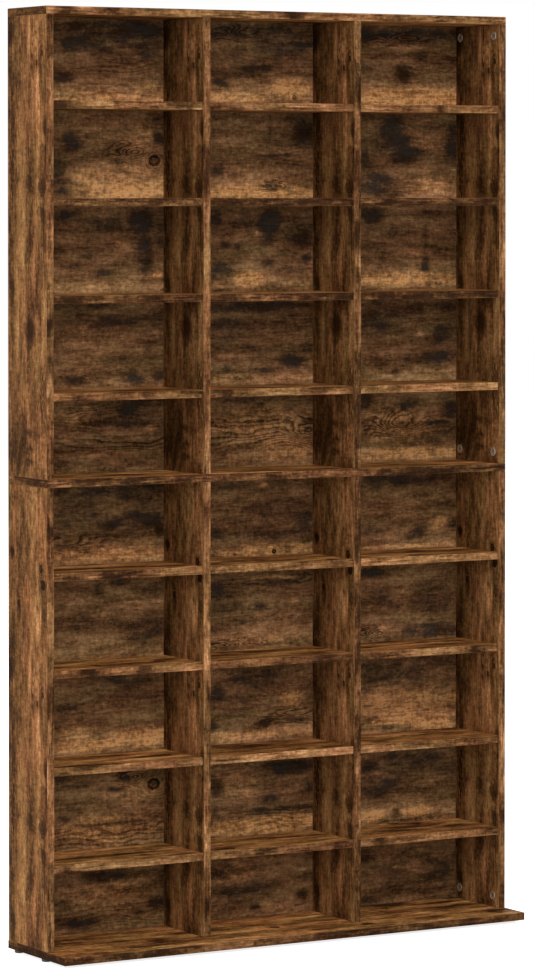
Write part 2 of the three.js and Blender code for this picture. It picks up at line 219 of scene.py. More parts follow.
            (110, 232, 36, 16, 60), (20, 74, 20, 3, 84), (30, 790, 110, 35, 50), (0, 600, 70, 30, 45),
            (50, 100, 120, 20, 35), (40, 205, 110, 30, 50), (105, 350, 50, 22, 160),
        ),
        "lines": ((80, 690, 100, 8, 50), (60, 165, 120, 8, 50)),
        "swirls": ((-41, 540, 28, 13, 4),),
    },
}

# The left faces of all uprights are printed with one sheet. Along is the height on it and across the depth of
# the body. The lower unit's panels are cut from further up the sheet.
UPRIGHT_SHEET_START = {"lower": 0.315, "upper": 0.0}
UPRIGHT_MARKS = {
    "smoke_and_shadow": (
        (55, 80, 65, 38, 65), (30, 22, 6, 18, 60), (55, 22, 6, 20, 60), (85, 24, 8, 22, 65),
        (110, 55, 8, 30, 60), (275, 24, 34, 18, 95), (315, 12, 24, 24, 65), (300, -20, 60, 18, 40),
        (445, 14, 26, 10, 95), (490, 16, 34, 8, 60), (492, -30, 14, 10, 90), (552, 22, 20, 12, 90),
        (600, 22, 50, 8, 60), (480, 85, 80, 30, 30), (560, 85, 60, 20, 45), (540, -26, 16, 12, 70),
        (740, 90, 120, 24, 45), (850, 92, 50, 26, 60), (800, 55, 40, 16, 50), (955, 70, 30, 18, 60),
        (900, 90, 60, 22, 42), (1053, 96, 10, 10, 90), (1150, 97, 50, 24, 60), (1120, 45, 40, 20, 35),
        (700, 25, 100, 8, 50), (400, 100, 120, 14, 40), (640, -42, 80, 6, 60),
    ),
    "wear_and_light": (
        (55, -22, 70, 22, 80), (150, 35, 30, 26, 50), (200, 0, 70, 14, 45), (420, 60, 50, 30, 40),
        (680, -10, 105, 8, 110), (632, -30, 12, 20, 90), (835, -10, 50, 35, 75), (640, 45, 60, 12, 40),
        (930, -5, 70, 30, 65), (905, -20, 70, 9, 100), (1100, -5, 80, 40, 60), (1000, 40, 60, 30, 40),
        # The mark 98 across that runs the whole height is painted light: it lightens the shaded rear of the
        # faces.
        (350, -30, 70, 10, 45), (600, 98, 1500, 30, 32), (440, -22, 60, 8, 50),
    ),
    "lines": ((560, 92, 120, 12, 70), (430, -25, 70, 14, 50), (770, -20, 50, 20, 40)),
    "knots": ((998, -30, 7), (1028, -21, 6), (1053, 96, 6), (775, -6, 4), (793, -28, 4), (958, 70, 5)),
    "swirls": (
        (565, 88, 40, 12, 3), (150, -30, 50, 10, 3), (415, 30, 40, 10, 3), (540, -26, 26, 12, 4),
        (820, 10, 60, 10, 2.5),
    ),
}

# Front edges: the dark and the light patches as along, half length and strength, then the smoke and the wear
# of the whole edge. Along is the place across the tower on a lying board and the height on an upright.
FRONT_MARKS = {
    "shelf_upper_left_1": (((-480, 26, 90), (-215, 35, 60), (-360, 10, 50)), ((-400, 60, 70),), 0, 30),
    "shelf_upper_middle_1": (((-100, 30, 40), (120, 25, 50)), ((-30, 40, 60), (70, 30, 50)), 10, 20),
    "shelf_upper_right_1": (((360, 10, 90), (270, 50, 40)), ((450, 40, 100), (200, 20, 50)), 0, 20),
    "shelf_upper_left_2": (((-360, 12, 90), (-260, 60, 50)), (), 45, 0),
    "shelf_upper_middle_2": (((-80, 50, 60), (100, 30, 60)), (), 45, 0),
    "shelf_upper_right_2": (((240, 20, 90), (400, 50, 50)), (), 45, 0),
    "shelf_upper_left_3": (((-460, 40, 90), (-210, 20, 60)), ((-370, 35, 90), (-250, 12, 80)), 20, 0),
    "shelf_upper_middle_3": (((0, 60, 60), (120, 20, 80)), (), 45, 0),
    "shelf_upper_right_3": (((300, 40, 70), (420, 30, 60)), (), 45, 0),
    "shelf_upper_left_4": (((-450, 30, 50), (-300, 20, 50)), ((-240, 40, 50),), 15, 20),
    "shelf_upper_middle_4": (((-120, 15, 60),), ((0, 100, 60),), 0, 30),
    "shelf_upper_right_4": (((210, 20, 40),), ((350, 120, 100),), 0, 50),
    "shelf_lower_left_1": (((-370, 30, 90),), ((-450, 40, 70), (-260, 60, 70)), 0, 30),
    "shelf_lower_middle_1": (((50, 15, 40),), ((-60, 60, 90), (100, 40, 80)), 0, 50),
    "shelf_lower_right_1": ((), ((340, 150, 90),), 0, 60),
    "shelf_lower_left_2": (((-420, 20, 90), (-300, 20, 90)),
                           ((-470, 12, 100), (-355, 25, 100), (-200, 20, 100)), 10, 0),
    "shelf_lower_middle_2": (((20, 40, 50),), ((-100, 30, 50), (110, 20, 60)), 10, 20),
    "shelf_lower_right_2": (((280, 25, 50), (440, 20, 50)),
                            ((240, 8, 100), (330, 10, 100), (390, 10, 100)), 15, 10),
    "shelf_lower_left_3": (((-420, 30, 40),), ((-280, 60, 60),), 5, 30),
    "shelf_lower_middle_3": ((), ((0, 120, 90),), 0, 60),
    "shelf_lower_right_3": (((250, 20, 40),), ((380, 80, 80),), 0, 40),
    "shelf_lower_left_4": (((-450, 40, 60),), ((-300, 80, 70),), 5, 30),
    "shelf_lower_middle_4": (((-50, 20, 50), (120, 20, 40)), ((50, 30, 50),), 10, 30),
    "shelf_lower_right_4": (((220, 15, 90),), ((380, 90, 90),), 0, 40),
    "middle_board": (((-420, 30, 60), (-300, 20, 50), (50, 60, 50), (300, 30, 70)),
                     ((-360, 20, 60), (-120, 30, 50), (200, 20, 50)), 34, 0),
    "top_board": (((-470, 20, 70), (-370, 15, 80), (20, 30, 50)),
                  ((-420, 20, 60), (-150, 120, 80), (200, 150, 70)), 0, 46),
    "base_plate": (((-300, 80, 60), (100, 100, 60), (380, 50, 60)), ((-120, 40, 40),), 26, 0),
    "upper_side_left": (((1700, 20, 60), (1450, 40, 60), (1180, 30, 70)),
                        ((1600, 50, 80), (1300, 60, 90), (1000, 60, 80)), 15, 20),
    "upper_divider_left": (((1475, 55, 90), (1700, 30, 50)), ((1200, 200, 100), (1600, 50, 60)), 12, 30),
    "upper_divider_right": (((1650, 60, 70), (1350, 50, 70), (1000, 40, 60)),
                            ((1500, 30, 50), (1150, 50, 50)), 28, 0),
    "upper_side_right": (((1600, 80, 50), (1050, 60, 50)), ((1300, 50, 90),), 8, 20),
    "lower_side_left": (((800, 20, 70), (500, 30, 70), (120, 30, 60)),
                        ((650, 70, 80), (300, 80, 90)), 5, 30),
    "lower_divider_left": (((830, 20, 60), (330, 20, 50)), ((600, 150, 110), (180, 100, 120)), -8, 50),
    "lower_divider_right": (((750, 60, 70), (400, 60, 70), (120, 30, 60)),
                            ((580, 30, 60), (250, 40, 60)), 26, 0),
    "lower_side_right": (((700, 50, 50), (200, 50, 50)), ((500, 100, 90), (850, 30, 80)), -6, 35),
}

# What each number of a mark is divided by, to be in metres or a whole strength
SOFT_UNITS = (1000, 1000, 1000, 1000, 100)
MARK_UNITS = {"smoke_and_shadow": SOFT_UNITS, "wear_and_light": SOFT_UNITS, "lines": SOFT_UNITS, "knots": (1000, 1000, 1000),
              "swirls": (1000, 1000, 1000, 1000, 1)}
# Half width of a mark that reaches across the whole of a front edge
WHOLE_WIDTH = 1e6
# What a face reads that has no knot or no swirl near it
FAR_KNOT = (1.0, 1.0, 0.01)
NO_SWIRL = (9.0, 9.0, 0.0)

# Tints of the sheets where they aren't worn. The uprights carry one print, so their outer and inner tints
# are painted light and shade: they make the lower unit lighter, and the shaded inner faces less red than the
# lit outer sides.
NO_TINT = (1.0, 1.0, 1.0)
OUTER_PAINTED_LIGHT_TINTS = {"lower": (1.10, 1.08, 1.12), "upper": (1.0, 1.0, 1.06)}
INNER_PAINTED_LIGHT_TINTS = {"lower": (1.11, 1.16, 1.24), "upper": (0.95, 1.00, 1.05)}
BACK_TINT = (1.05, 1.25, 1.64)
TOP_TINT = (1.22, 1.14, 1.0)
EDGE_TINT = (1.0, 1.05, 1.25)

# Base wear of the sheets, from 0 for none to about 1 for bare wood. The base wear of the lower unit's inner
# faces, and the lower backs' extra base wear over the upper ones, are painted light on the lower
# compartments.
LOWER_INNER_PAINTED_LIGHT = 0.38
BACK_WEAR_AND_LIGHT = {"lower": 0.30, "upper": 0.15}
SHELF_WEAR = 0.08
SHELF_WEAR_STEP = {"lower": 0.12, "upper": 0.0}
PLATE_WEAR = 0.36
BAND_WEAR = 0.30
LONG_BAND_WEAR = 0.10
PLATE_BAND_SMOKE = 0.70
LONG_BAND_SMOKE = 0.45

# Worn step in front of the body: its middle behind the plate's front edge, half length, half width, strength
PLATE_STEP = (0.015, 0.8, 0.040, 0.78)

# Every front edge has this much more smoke and this much less wear than its row of FRONT_MARKS says
EDGE_SMOKE = 0.14
EDGE_WEAR_LESS = 0.25

# Seeds of the decor: the first board's, the step from board to board, and what the upper unit adds
UPRIGHT_SEEDS = (20.0, 7.0, 50.0)
LONG_SEEDS = (400.0, 11.0, 0.0)
BACK_SEEDS = (600.0, 13.0, 71.0)

# Streak layers of the decor: length, width, noise detail and seed
STREAKS = {
    "clouds": (0.230, 0.042, 3.0, 3.1),
    "patches": (0.060, 0.016, 3.0, 11.9),
    "mottle": (0.009, 0.006, 3.0, 17.3),
    "saw marks": (0.0040, 0.020, 2.0, 31.7),
    "pores": (0.012, 0.0007, 1.0, 21.9),
    "cracks": (0.016, 0.0018, 2.0, 71.3),
    "flecks": (0.008, 0.0024, 2.0, 81.9),
    # The rubbed layer breaks up the rubbed wear and the painted highlight along the board edges.
    "rubbed_and_highlight": (0.030, 0.030, 4.0, 51.3),
    "busy": (0.110, 0.035, 2.0, 61.3),
    "turn": (0.160, 0.040, 3.0, 41.3),
    "cool": (0.090, 0.050, 2.0, 91.3),
}
THREAD_SHARE = 0.3

# Half of a glide's outline from its underside to its top, as shares of its radius and height
GLIDE_OUTLINE = (
    (0.0, 0.30), (0.22, 0.30), (0.26, 0.0), (0.80, 0.0), (0.90, 0.05), (0.97, 0.18), (1.0, 0.35), (1.0, 0.80),
    (0.96, 0.93), (0.90, 1.0), (0.0, 1.0))
ROUND_SIDES = 48
# The rear cams are turned this many times as far as the front ones
REAR_CAM_TURN = 2.4

# The key's distance and width, and the other lamps' bearing, height in degrees, distance and width
KEY_DISTANCE, KEY_WIDTH = 14.0, 3.2
LAMPS = {"fill": (-28, 15, 12.0, 4.5), "side": (-97, 22, 10.0, 4.0), "back": (150, 35, 10.0, 4.0)}


length = partial(FloatProperty, unit="LENGTH")
angle = partial(FloatProperty, subtype="ANGLE")
power = partial(FloatProperty, unit="POWER")
colour = partial(FloatVectorProperty, subtype="COLOR")


class TowerBoards(bpy.types.PropertyGroup):
    """Shape of the boards beyond what the frame says."""

    edge_radius: length(
        name="Edge radius", description="Rounding of the edge bands", default=0.0008, min=0.0001)
    back_edge_radius: length(
        name="Back edge radius", description="Rounding of the thin backs", default=0.0003, min=0.0001)
    cell: length(name="Cell", description="Mesh spacing that carries the marks", default=0.006, min=0.002)


class TowerFinish(bpy.types.PropertyGroup):
    """Colours and scale of the finishes."""

    bark: colour(
        name="Bark", description="Darkest brown, in knots and cracks", default=(0.012, 0.0055, 0.0026))
    umber: colour(name="Umber", description="Dark brown of the late wood", default=(0.055, 0.022, 0.0075))
    brown: colour(name="Brown", description="Middle brown of the decor", default=(0.168, 0.0735, 0.0250))
    tan: colour(name="Tan", description="Light worn brown", default=(0.350, 0.165, 0.0635))
    straw: colour(name="Straw", description="Lightest wood", default=(0.630, 0.328, 0.138))
    # The smoke colour goes over smoke marks and painted shadows alike; the soot colour cools both on the back
    # panels.
    smoke_and_shadow: colour(name="Smoke", description="Warm black of smoked places", default=(0.036, 0.0145, 0.0062))
    soot_and_shadow: colour(name="Soot", description="Cooler black in the back panels", default=(0.044, 0.0375, 0.0305))
    rust: colour(name="Rust", description="Tint of the redder streaks", default=(1.06, 0.96, 0.92), max=2.0)
    olive: colour(
        name="Olive", description="Tint of the greener streaks", default=(0.96, 1.02, 0.90), max=2.0)
    # The gold tint also lands on the painted pools of light at the bottom of the back compartments.
    gold: colour(
        name="Gold", description="Tint of worn places on the backs", default=(1.03, 1.0, 0.90), max=2.0)
    hardboard: colour(
        name="Hardboard", description="Raw rear of the back panels", default=(0.200, 0.115, 0.060))
    zinc: colour(name="Zinc", description="Die cast cams and nails", default=(0.520, 0.410, 0.305))
    glide: colour(name="Glide", description="Plastic of the glides", default=(0.030, 0.022, 0.017))
    streak_length: length(name="Streak length", description="Length of the main streaks", default=0.060)
    streak_width: length(name="Streak width", description="Width of the main streaks", default=0.0038)
    ring_spacing: length(name="Ring spacing", description="Distance between growth rings", default=0.0086)


class TowerFittings(bpy.types.PropertyGroup):
    """Sizes of the cams and nails."""

    cam_chamfer: length(name="Cam chamfer", description="Chamfer of the cam's rim", default=0.0005)
    cam_crown: length(name="Cam crown", description="Height of the cam's rim above the board", default=0.0008)
    cam_dish_share: FloatProperty(
        name="Cam dish", description="Share of the cam's radius that is dished",
        default=0.72, min=0.1, max=0.95)
    cam_dish_depth: length(name="Cam dish depth", description="Depth of the dished face", default=0.0005)
    cam_slot_width: length(name="Cam slot width", description="Width of the driver cross", default=0.0016)
    cam_slot_depth: length(name="Cam slot depth", description="Depth of the driver cross", default=0.002)
    cam_turn: angle(name="Cam turn", description="Angle of the tightened cross", default=math.radians(32))
    nail_spacing: length(
        name="Nail spacing", description="Distance between the nails of a back panel", default=0.110)
    nail_inset: length(
        name="Nail inset", description="Distance of the nails from the panel's edge", default=0.0055)
    nail_radius: length(name="Nail radius", description="Radius of a nail's head", default=0.0019)
    nail_height: length(name="Nail height", description="Height of a nail's head", default=0.0007)


class TowerStage(bpy.types.PropertyGroup):
    """Camera, lamps and floor."""

    camera_place: FloatVectorProperty(
        name="Camera place", description="Where the camera stands",
        default=(-4.2415, -7.2005, 1.4269), subtype="TRANSLATION")
    camera_yaw: angle(
        name="Camera yaw", description="Turn of the view to the right", default=math.radians(30.45))
    camera_pitch: angle(
        name="Camera pitch", description="Tilt of the view downwards", default=math.radians(1.25))
    camera_lens: FloatProperty(
        name="Camera lens", description="Focal length on a 36 mm sensor", default=161.06, unit="CAMERA")
    camera_shift: FloatProperty(
        name="Camera shift", description="Vertical shift of the photographed frame", default=-0.2)
    key_power: power(name="Key power", description="Power of the large lamp above in front", default=1200.0)
    key_bearing: angle(
        name="Key bearing", description="Turn of the key to the right of straight in front",
        default=math.radians(-12))
    key_height: angle(
        name="Key height", description="How high the key stands, as an angle", default=math.radians(41))
    fill_power: power(name="Fill power", description="Power of the low lamp in front", default=300.0)
    side_power: power(name="Side power", description="Power of the lamp at the left", default=370.0)
    back_power: power(name="Back power", description="Power of the lamp behind", default=420.0)
    sky_strength: FloatProperty(name="Sky strength", description="Even light from all round", default=0.28)
    floor_reach: length(
        name="Floor reach", description="Distance from the tower to the floor's edge", default=14.0)
    floor_colour: colour(name="Floor colour", description="Pale studio floor", default=(0.80, 0.80, 0.80))
    floor_glow: FloatProperty(
        name="Floor glow", description="Light added to the floor where it is seen", default=0.80)


class Value:
    """A node's output. Arithmetic with it adds Math nodes, or Vector Math nodes where a vector takes part."""

    def __init__(self, socket):
        self.socket = socket
        self.graph = Graph(socket.id_data)

    def apply(self, operation, *others):
        return self.graph.calculate(operation, self, *others)

    def __add__(self, other):
        return self.apply("ADD", other)

    def __radd__(self, other):
        return self.graph.calculate("ADD", other, self)

    def __sub__(self, other):
        return self.apply("SUBTRACT", other)

    def __rsub__(self, other):
        return self.graph.calculate("SUBTRACT", other, self)

    def __mul__(self, other):
        return self.apply("MULTIPLY", other)

    def __truediv__(self, other):
        return self.apply("DIVIDE", other)

    def __rtruediv__(self, other):
        return self.graph.calculate("DIVIDE", other, self)

    def split(self):
        return self.graph.outputs("ShaderNodeSeparateXYZ", self)

    def step(self, low, high):
        """A smooth step from 0 at low to 1 at high, which may be the smaller of the two."""
        inputs = {"Value": self, "From Min": low, "From Max": high}
        return self.graph.add("ShaderNodeMapRange", inputs=inputs, interpolation_type="SMOOTHSTEP")

    def noise(self, detail=2.0, roughness=0.5):
        inputs = {"Vector": self, "Scale": 1.0, "Detail": detail, "Roughness": roughness}
        return self.graph.add("ShaderNodeTexNoise", inputs=inputs)

    def swing(self, amount):
        """A value that lies round 0.5, turned into one that swings round 0 by this amount."""
        return (self - 0.5) * amount


class Graph:
    """Adds nodes to a tree. An input may be a number, a vector, a colour or another node's value."""

    def __init__(self, tree):
        self.tree = tree

    def put(self, socket, value):
        if isinstance(value, Value):
            self.tree.links.new(value.socket, socket)
        else:
            socket.default_value = value

    def node(self, kind, *values, inputs=None, **settings):
        node = self.tree.nodes.new(kind)
        for name, value in settings.items():
            setattr(node, name, value)
        for place, value in [*enumerate(values), *(inputs or {}).items()]:
            self.put(node.inputs[place], value)
        return node

    def outputs(self, kind, *values, **settings):
        return [Value(socket) for socket in self.node(kind, *values, **settings).outputs]

    def add(self, kind, *values, output=0, **settings):
        return Value(self.node(kind, *values, **settings).outputs[output])

    def calculate(self, operation, *values):
        sockets = [value.socket.type for value in values if isinstance(value, Value)]
        if "VECTOR" not in sockets:
            return self.add("ShaderNodeMath", *values, operation=operation)
        values = [(value,) * 3 if isinstance(value, float) else value for value in values]
        output = "Value" if operation in ("LENGTH", "DOT_PRODUCT") else "Vector"
        return self.add("ShaderNodeVectorMath", *values, output=output, operation=operation)

    def joined(self, x, y, z):
        return self.add("ShaderNodeCombineXYZ", x, y, z)

    def mix(self, factor, first, second, blend="MIX"):
        inputs = {0: factor, 6: first, 7: second}
        return self.add("ShaderNodeMix", output=2, inputs=inputs, data_type="RGBA", blend_type=blend)

    def place(self):
        return self.add("ShaderNodeTexCoord", output="Object")

    def attribute(self, name):
        node = self.node("ShaderNodeAttribute", attribute_name=name, attribute_type="GEOMETRY")
        return {socket.name: Value(socket) for socket in node.outputs}

    def group(self, name, **values):
        inputs = {label.capitalize(): value for label, value in values.items()}
        return self.outputs("ShaderNodeGroup", inputs=inputs, node_tree=bpy.data.node_groups[name])


NUMBER, VECTOR, GEOMETRY, MATERIAL = (
    f"NodeSocket{kind}" for kind in ("Float", "Vector", "Geometry", "Material"))


def new_group(name, kind, inputs, outputs):
    """A node group with named sockets, as its graph, its inputs' values and its output node's sockets."""
    tree = bpy.data.node_groups.new(name, kind)
    for label, (socket_type, default) in inputs.items():
        socket = tree.interface.new_socket(label, in_out="INPUT", socket_type=socket_type)
        if default is not None:
            socket.default_value = default
    for label, socket_type in outputs.items():
        tree.interface.new_socket(label, in_out="OUTPUT", socket_type=socket_type)
    given = {socket.name: Value(socket) for socket in tree.nodes.new("NodeGroupInput").outputs}
    return Graph(tree), given, tree.nodes.new("NodeGroupOutput").inputs


def fibre_group():
    """Coordinates that follow the fibres: they wander a little and flow round the knots."""
    graph, given, result = new_group(
        "Fibre", "ShaderNodeTree",
        {"Grain": (VECTOR, None), "Knot": (VECTOR, FAR_KNOT), "Wander": (NUMBER, 0.003)}, {"Fibre": VECTOR})
    along, across, sheet = given["Grain"].split()
    slow = (given["Grain"] * (5.0, 16.0, 1.0)).noise(detail=1.0)
    from_across, radius = given["Knot"].split()[1:]
    reach = radius * 2.4
    near = given["Knot"] / graph.joined(reach * 1.5, reach, 1.0) * (1.0, 1.0, 0.0)
    closeness = (near.apply("DOT_PRODUCT", near) * -1.0).apply("EXPONENT")
    bent = across + slow.swing(2.0) * given["Wander"] + from_across * closeness * -0.75
    graph.put(result["Fibre"], graph.joined(along, bent, sheet))


def streak_group():
    """Streaks of one length and width along the fibres."""
    graph, given, result = new_group(
        "Streaks", "ShaderNodeTree",
        {"Fibre": (VECTOR, None), "Length": (NUMBER, 0.1), "Width": (NUMBER, 0.005),
         "Detail": (NUMBER, 3.0), "Seed": (NUMBER, 0.0)}, {"Streak": NUMBER})
    place = given["Fibre"] / graph.joined(given["Length"], given["Width"], 1.0) + given["Seed"]
    graph.put(result["Streak"], place.noise(detail=given["Detail"], roughness=0.62))


def ring_group():
    """Growth rings cut at a slant: dark lines that run along, and bow into nested arches at a swirl."""
    graph, given, result = new_group(
        "Growth rings", "ShaderNodeTree",
        {"Fibre": (VECTOR, None), "Swirl": (VECTOR, NO_SWIRL), "Spacing": (NUMBER, 0.0075),
         "Waves": (NUMBER, 5.0)}, {"Line": NUMBER, "Swirled": NUMBER})
    slow = (given["Fibre"] * (9.0, 26.0, 1.0)).noise(detail=1.5)
    crooked = (given["Fibre"] * (55.0, 120.0, 1.0)).noise(detail=2.0)
    ahead, aside, rings = given["Swirl"].split()
    reach = ahead * ahead + aside * aside
    swirled = (reach * -1.0).apply("EXPONENT")
    arched = swirled * (ahead + aside * aside * -1.7 + 0.4)
    straight = given["Fibre"].split()[1] / given["Spacing"]
    height = straight + slow * given["Waves"] + crooked.swing(0.9) + arched * rings
    phase = height.apply("FRACT")
    graph.put(result["Line"], phase.step(0.28, 0.84) * phase.step(1.00, 0.88))
    graph.put(result["Swirled"], reach.step(2.2, 0.4))


def knot_group():
    """Dark core and rings of the nearest knot."""
    graph, given, result = new_group(
        "Knot", "ShaderNodeTree", {"Knot": (VECTOR, FAR_KNOT), "Stretch": (NUMBER, 1.25)},
        {"Core": NUMBER, "Rings": NUMBER})
    flat = given["Knot"] * graph.joined(1.0 / given["Stretch"], 1.0, 0.0)
    ragged = (given["Knot"] * (190.0, 190.0, 0.0)).noise(detail=3.0).swing(1.1)
    distance = flat.apply("LENGTH") / given["Knot"].split()[2] + ragged
    core = distance.step(1.25, 0.60)
    rim = distance.step(0.35, 0.80) * distance.step(1.35, 0.95)
    wave = (distance * 8.5).apply("SINE").step(0.1, 0.9)
    graph.put(result["Core"], core * 0.45 + rim * 0.55)
    graph.put(result["Rings"], wave * distance.step(2.6, 1.0))


def patchy_mark_group():
    """Breaks a soft mark up into a patchy one that frays along the fibres: smoke and wear stains, and on the
    back panels painted shadows and painted pools of light too.
    """
    graph, given, result = new_group(
        "Stain", "ShaderNodeTree",
        {"Fibre": (VECTOR, None), "Mark": (NUMBER, 0.0), "Full": (NUMBER, 1.0), "Patch": (NUMBER, 0.022),
         "Seed": (NUMBER, 0.0)}, {"Stain": NUMBER})
    patch = given["Patch"]
    place = given["Fibre"] / graph.joined(patch * 1.7, patch, 1.0) + given["Seed"]
    patchy = place.noise(detail=4.0, roughness=0.62).step(0.30, 0.66)
    fine = (place * (7.0, 9.0, 1.0)).noise(detail=2.0, roughness=0.6)
    broken = 0.55 + patchy * 0.70 + fine.swing(0.9)
    graph.put(result["Stain"], (given["Mark"] * broken).step(0.0, given["Full"]))


def new_material(name):
    """A new material's graph and its main shader."""
    material = bpy.data.materials.new(name)
    material.use_nodes = True
    return Graph(material.node_tree), material.node_tree.nodes["Principled BSDF"]


def opaque(tone):
    """A colour as the four numbers that a colour socket takes."""
    return (*tone, 1.0)


def shade(tone, share):
    """A colour made darker or lighter."""
    return tuple(channel * share for channel in tone)


def colour_ramp(graph, value, stops):
    """A colour ramp through the given colours at the given places."""
    stops = list(stops)
    node = graph.node("ShaderNodeValToRGB", value)
    elements = node.color_ramp.elements
    while len(elements) < len(stops):
        elements.new(0.5)
    for element, (place, tone) in zip(elements, stops):
        element.position = place
        element.color = opaque(tone)
    return Value(node.outputs[0])


def paint(graph, shader, tone, roughness, height, strength, depth):
    """Gives a shader its colour and roughness, and a relief of this strength and depth."""
    bump = graph.add("ShaderNodeBump", inputs={"Strength": strength, "Distance": depth, "Height": height})
    for name, value in (("Base Color", tone), ("Roughness", roughness), ("Normal", bump)):
        graph.put(shader.inputs[name], value)


def oak_material(name, finish, calm=0.0, patchy=1.0, streaky=1.0, saw=0.28):
    """Smoked oak decor under a satin resin surface. calm evens out its clouds and cools its smoke. patchy,
    streaky and saw are the strengths of patches, streaks and saw marks. Each sheet's tint fades where it is
    worn. Its smoke marks also hold painted shadow, its wear marks painted light, and its rubbed edges a
    painted highlight."""
    graph, shader = new_material(name)
    grain, knot, swirl, sheet_tint = (
        graph.attribute(kind)["Vector"] for kind in ("grain", "knot", "swirl", "tint"))
    marks = graph.attribute("marks")
    # Red, green and blue of the marks: smoke with painted shadow, wear with painted light, and lines. Alpha:
    # rubbed edges with a painted highlight.
    smoke_and_shadow_mark, wear_and_light_mark, line_mark = graph.outputs("ShaderNodeSeparateColor", marks["Color"])[:3]
    fibre = graph.group("Fibre", grain=grain, knot=knot, wander=0.005)[0]

    def streak(length, width, detail, seed):
        return graph.group("Streaks", fibre=fibre, length=length, width=width, detail=detail, seed=seed)[0]

    layers = {kind: streak(*values) for kind, values in STREAKS.items()}
    clouds, patches, mottle, saw_marks = (
        layers[kind] for kind in ("clouds", "patches", "mottle", "saw marks"))
    streaks = streak(finish.streak_length, finish.streak_width, 3.0, 7.7)
    threads = streak(finish.streak_length * THREAD_SHARE, finish.streak_width * THREAD_SHARE, 3.0, 13.3)
    pores, cracks, flecks = (layers["pores"].step(0.60, 0.70), layers["cracks"].step(0.62, 0.72),
                             layers["flecks"].step(0.60, 0.70))
    line, swirled = graph.group(
        "Growth rings", fibre=fibre, swirl=swirl, spacing=finish.ring_spacing, waves=5.5)
    core, rings = graph.group("Knot", knot=knot)
    # Smoke with painted shadow, wear with painted light, and rubbed edges with a painted highlight, broken up
    # along the fibres.
    smoke_and_shadow = graph.group("Stain", fibre=fibre, mark=smoke_and_shadow_mark, full=1.0, patch=0.020, seed=5.3)[0]
    wear_and_light = graph.group("Stain", fibre=fibre, mark=wear_and_light_mark, full=1.35, patch=0.014, seed=9.1)[0]
    rubbed_and_highlight = marks["Alpha"] * layers["rubbed_and_highlight"].step(0.42, 0.60)

    dark_line = line * (0.10 + line_mark * 0.9 + swirled).apply("MINIMUM", 1.1)
    busy = 0.45 + layers["busy"].step(0.36, 0.62)
    fine = streaks.swing(0.76 * streaky) + threads.swing(0.34 * streaky)
    bare = (streaks.swing(0.55 * calm) + threads.swing(0.45 * calm) + saw_marks.swing(0.45 * calm)
            + mottle.swing(0.75 * calm) + cracks * (-0.12 * calm))
    # Every layer lightens or darkens the middle brown by its share of the ramp. The smoke term also darkens
    # the painted shadows, the wear terms lighten the painted pools of light, and the rubbed term adds a
    # painted highlight.
    lightness = (
        0.50 + clouds.swing(1.10 * (1 - calm / 2)) + patches.swing(0.95 * patchy) + fine * busy
        + mottle.swing(0.62) + saw_marks.swing(saw) + wear_and_light * 0.40 + wear_and_light * bare + smoke_and_shadow * -0.34
        + dark_line * -0.32 + core * -0.52 + rings * -0.16 + pores * -0.10 + cracks * -0.26
        + flecks * 0.14 + rubbed_and_highlight * 0.16)
    browns = (finish.bark, finish.umber, finish.brown, finish.tan, finish.straw)
    wood = colour_ramp(graph, lightness, zip((0.0, 0.25, 0.5, 0.75, 1.0), browns))
    tint = graph.mix(layers["turn"].step(0.36, 0.64), opaque(finish.olive), opaque(finish.rust))
    tint = graph.mix(wear_and_light * calm, tint, opaque(finish.gold))
    wood = graph.mix(1.0, wood, tint, blend="MULTIPLY")
    wood = graph.mix(1.0 - wear_and_light, wood, sheet_tint, blend="MULTIPLY")
    # The smoke colour, cooled with soot on the back panels, goes over the smoke marks and the painted
    # shadows.
    cool = layers["cool"].step(0.30, 0.54) * min(calm * 1.7, 1.0)
    smoke_and_shadow_colour = graph.mix(cool, opaque(finish.smoke_and_shadow), opaque(finish.soot_and_shadow))
    wood = graph.mix(smoke_and_shadow.apply("POWER", 1.5 - 0.6 * calm) * 0.60, wood, smoke_and_shadow_colour)
    rough = 0.58 + streaks.swing(0.25) + threads.swing(0.15) + smoke_and_shadow * 0.08
    shader.inputs["Specular IOR Level"].default_value = 0.02
    paint(graph, shader, wood, rough, threads * 0.6 + pores * -0.5 + dark_line * -0.5, 0.35, 0.0002)


def hardboard_material(finish):
    """Raw fibre board on the rear and the edges of the back panels."""
    graph, shader = new_material("Raw hardboard")
    place = graph.place()
    fleck = (place * 900.0).noise(detail=3.0, roughness=0.7)
    cloud = (place * (9.0, 9.0, 5.0)).noise(detail=3.0)
    browns = (shade(finish.hardboard, 0.55), finish.hardboard, shade(finish.hardboard, 1.35))
    tone = colour_ramp(graph, 0.5 + fleck.swing(0.9) + cloud.swing(0.8), zip((0.1, 0.5, 0.9), browns))
    paint(graph, shader, tone, 0.78 + fleck.swing(0.2), fleck, 0.4, 0.0002)


def zinc_material(finish):
    """Die cast zinc with a dull, slightly blotched surface."""
    graph, shader = new_material("Die cast zinc")
    place = graph.place()
    cast = (place * 500.0).noise(detail=3.0)
    cloud = (place * 70.0).noise(detail=2.0)
    greys = colour_ramp(graph, cloud, ((0.3, shade(finish.zinc, 0.6)), (0.65, finish.zinc)))
    shader.inputs["Metallic"].default_value = 0.5
    paint(graph, shader, greys, 0.42 + cast.swing(0.3), cast, 0.25, 0.0001)


def glide_material(finish):
    """Moulded dark plastic, scuffed where it slides."""
    graph, shader = new_material("Glide plastic")
    place = graph.place()
    grainy = (place * 1500.0).noise(detail=2.0)
    scuff = (place * (260.0, 90.0, 260.0)).noise(detail=3.0).step(0.52, 0.72)
    plastic = graph.mix(scuff, opaque(finish.glide), opaque(shade(finish.glide, 2.4)))
    paint(graph, shader, plastic, 0.45 + scuff * 0.25, grainy, 0.3, 0.0001)


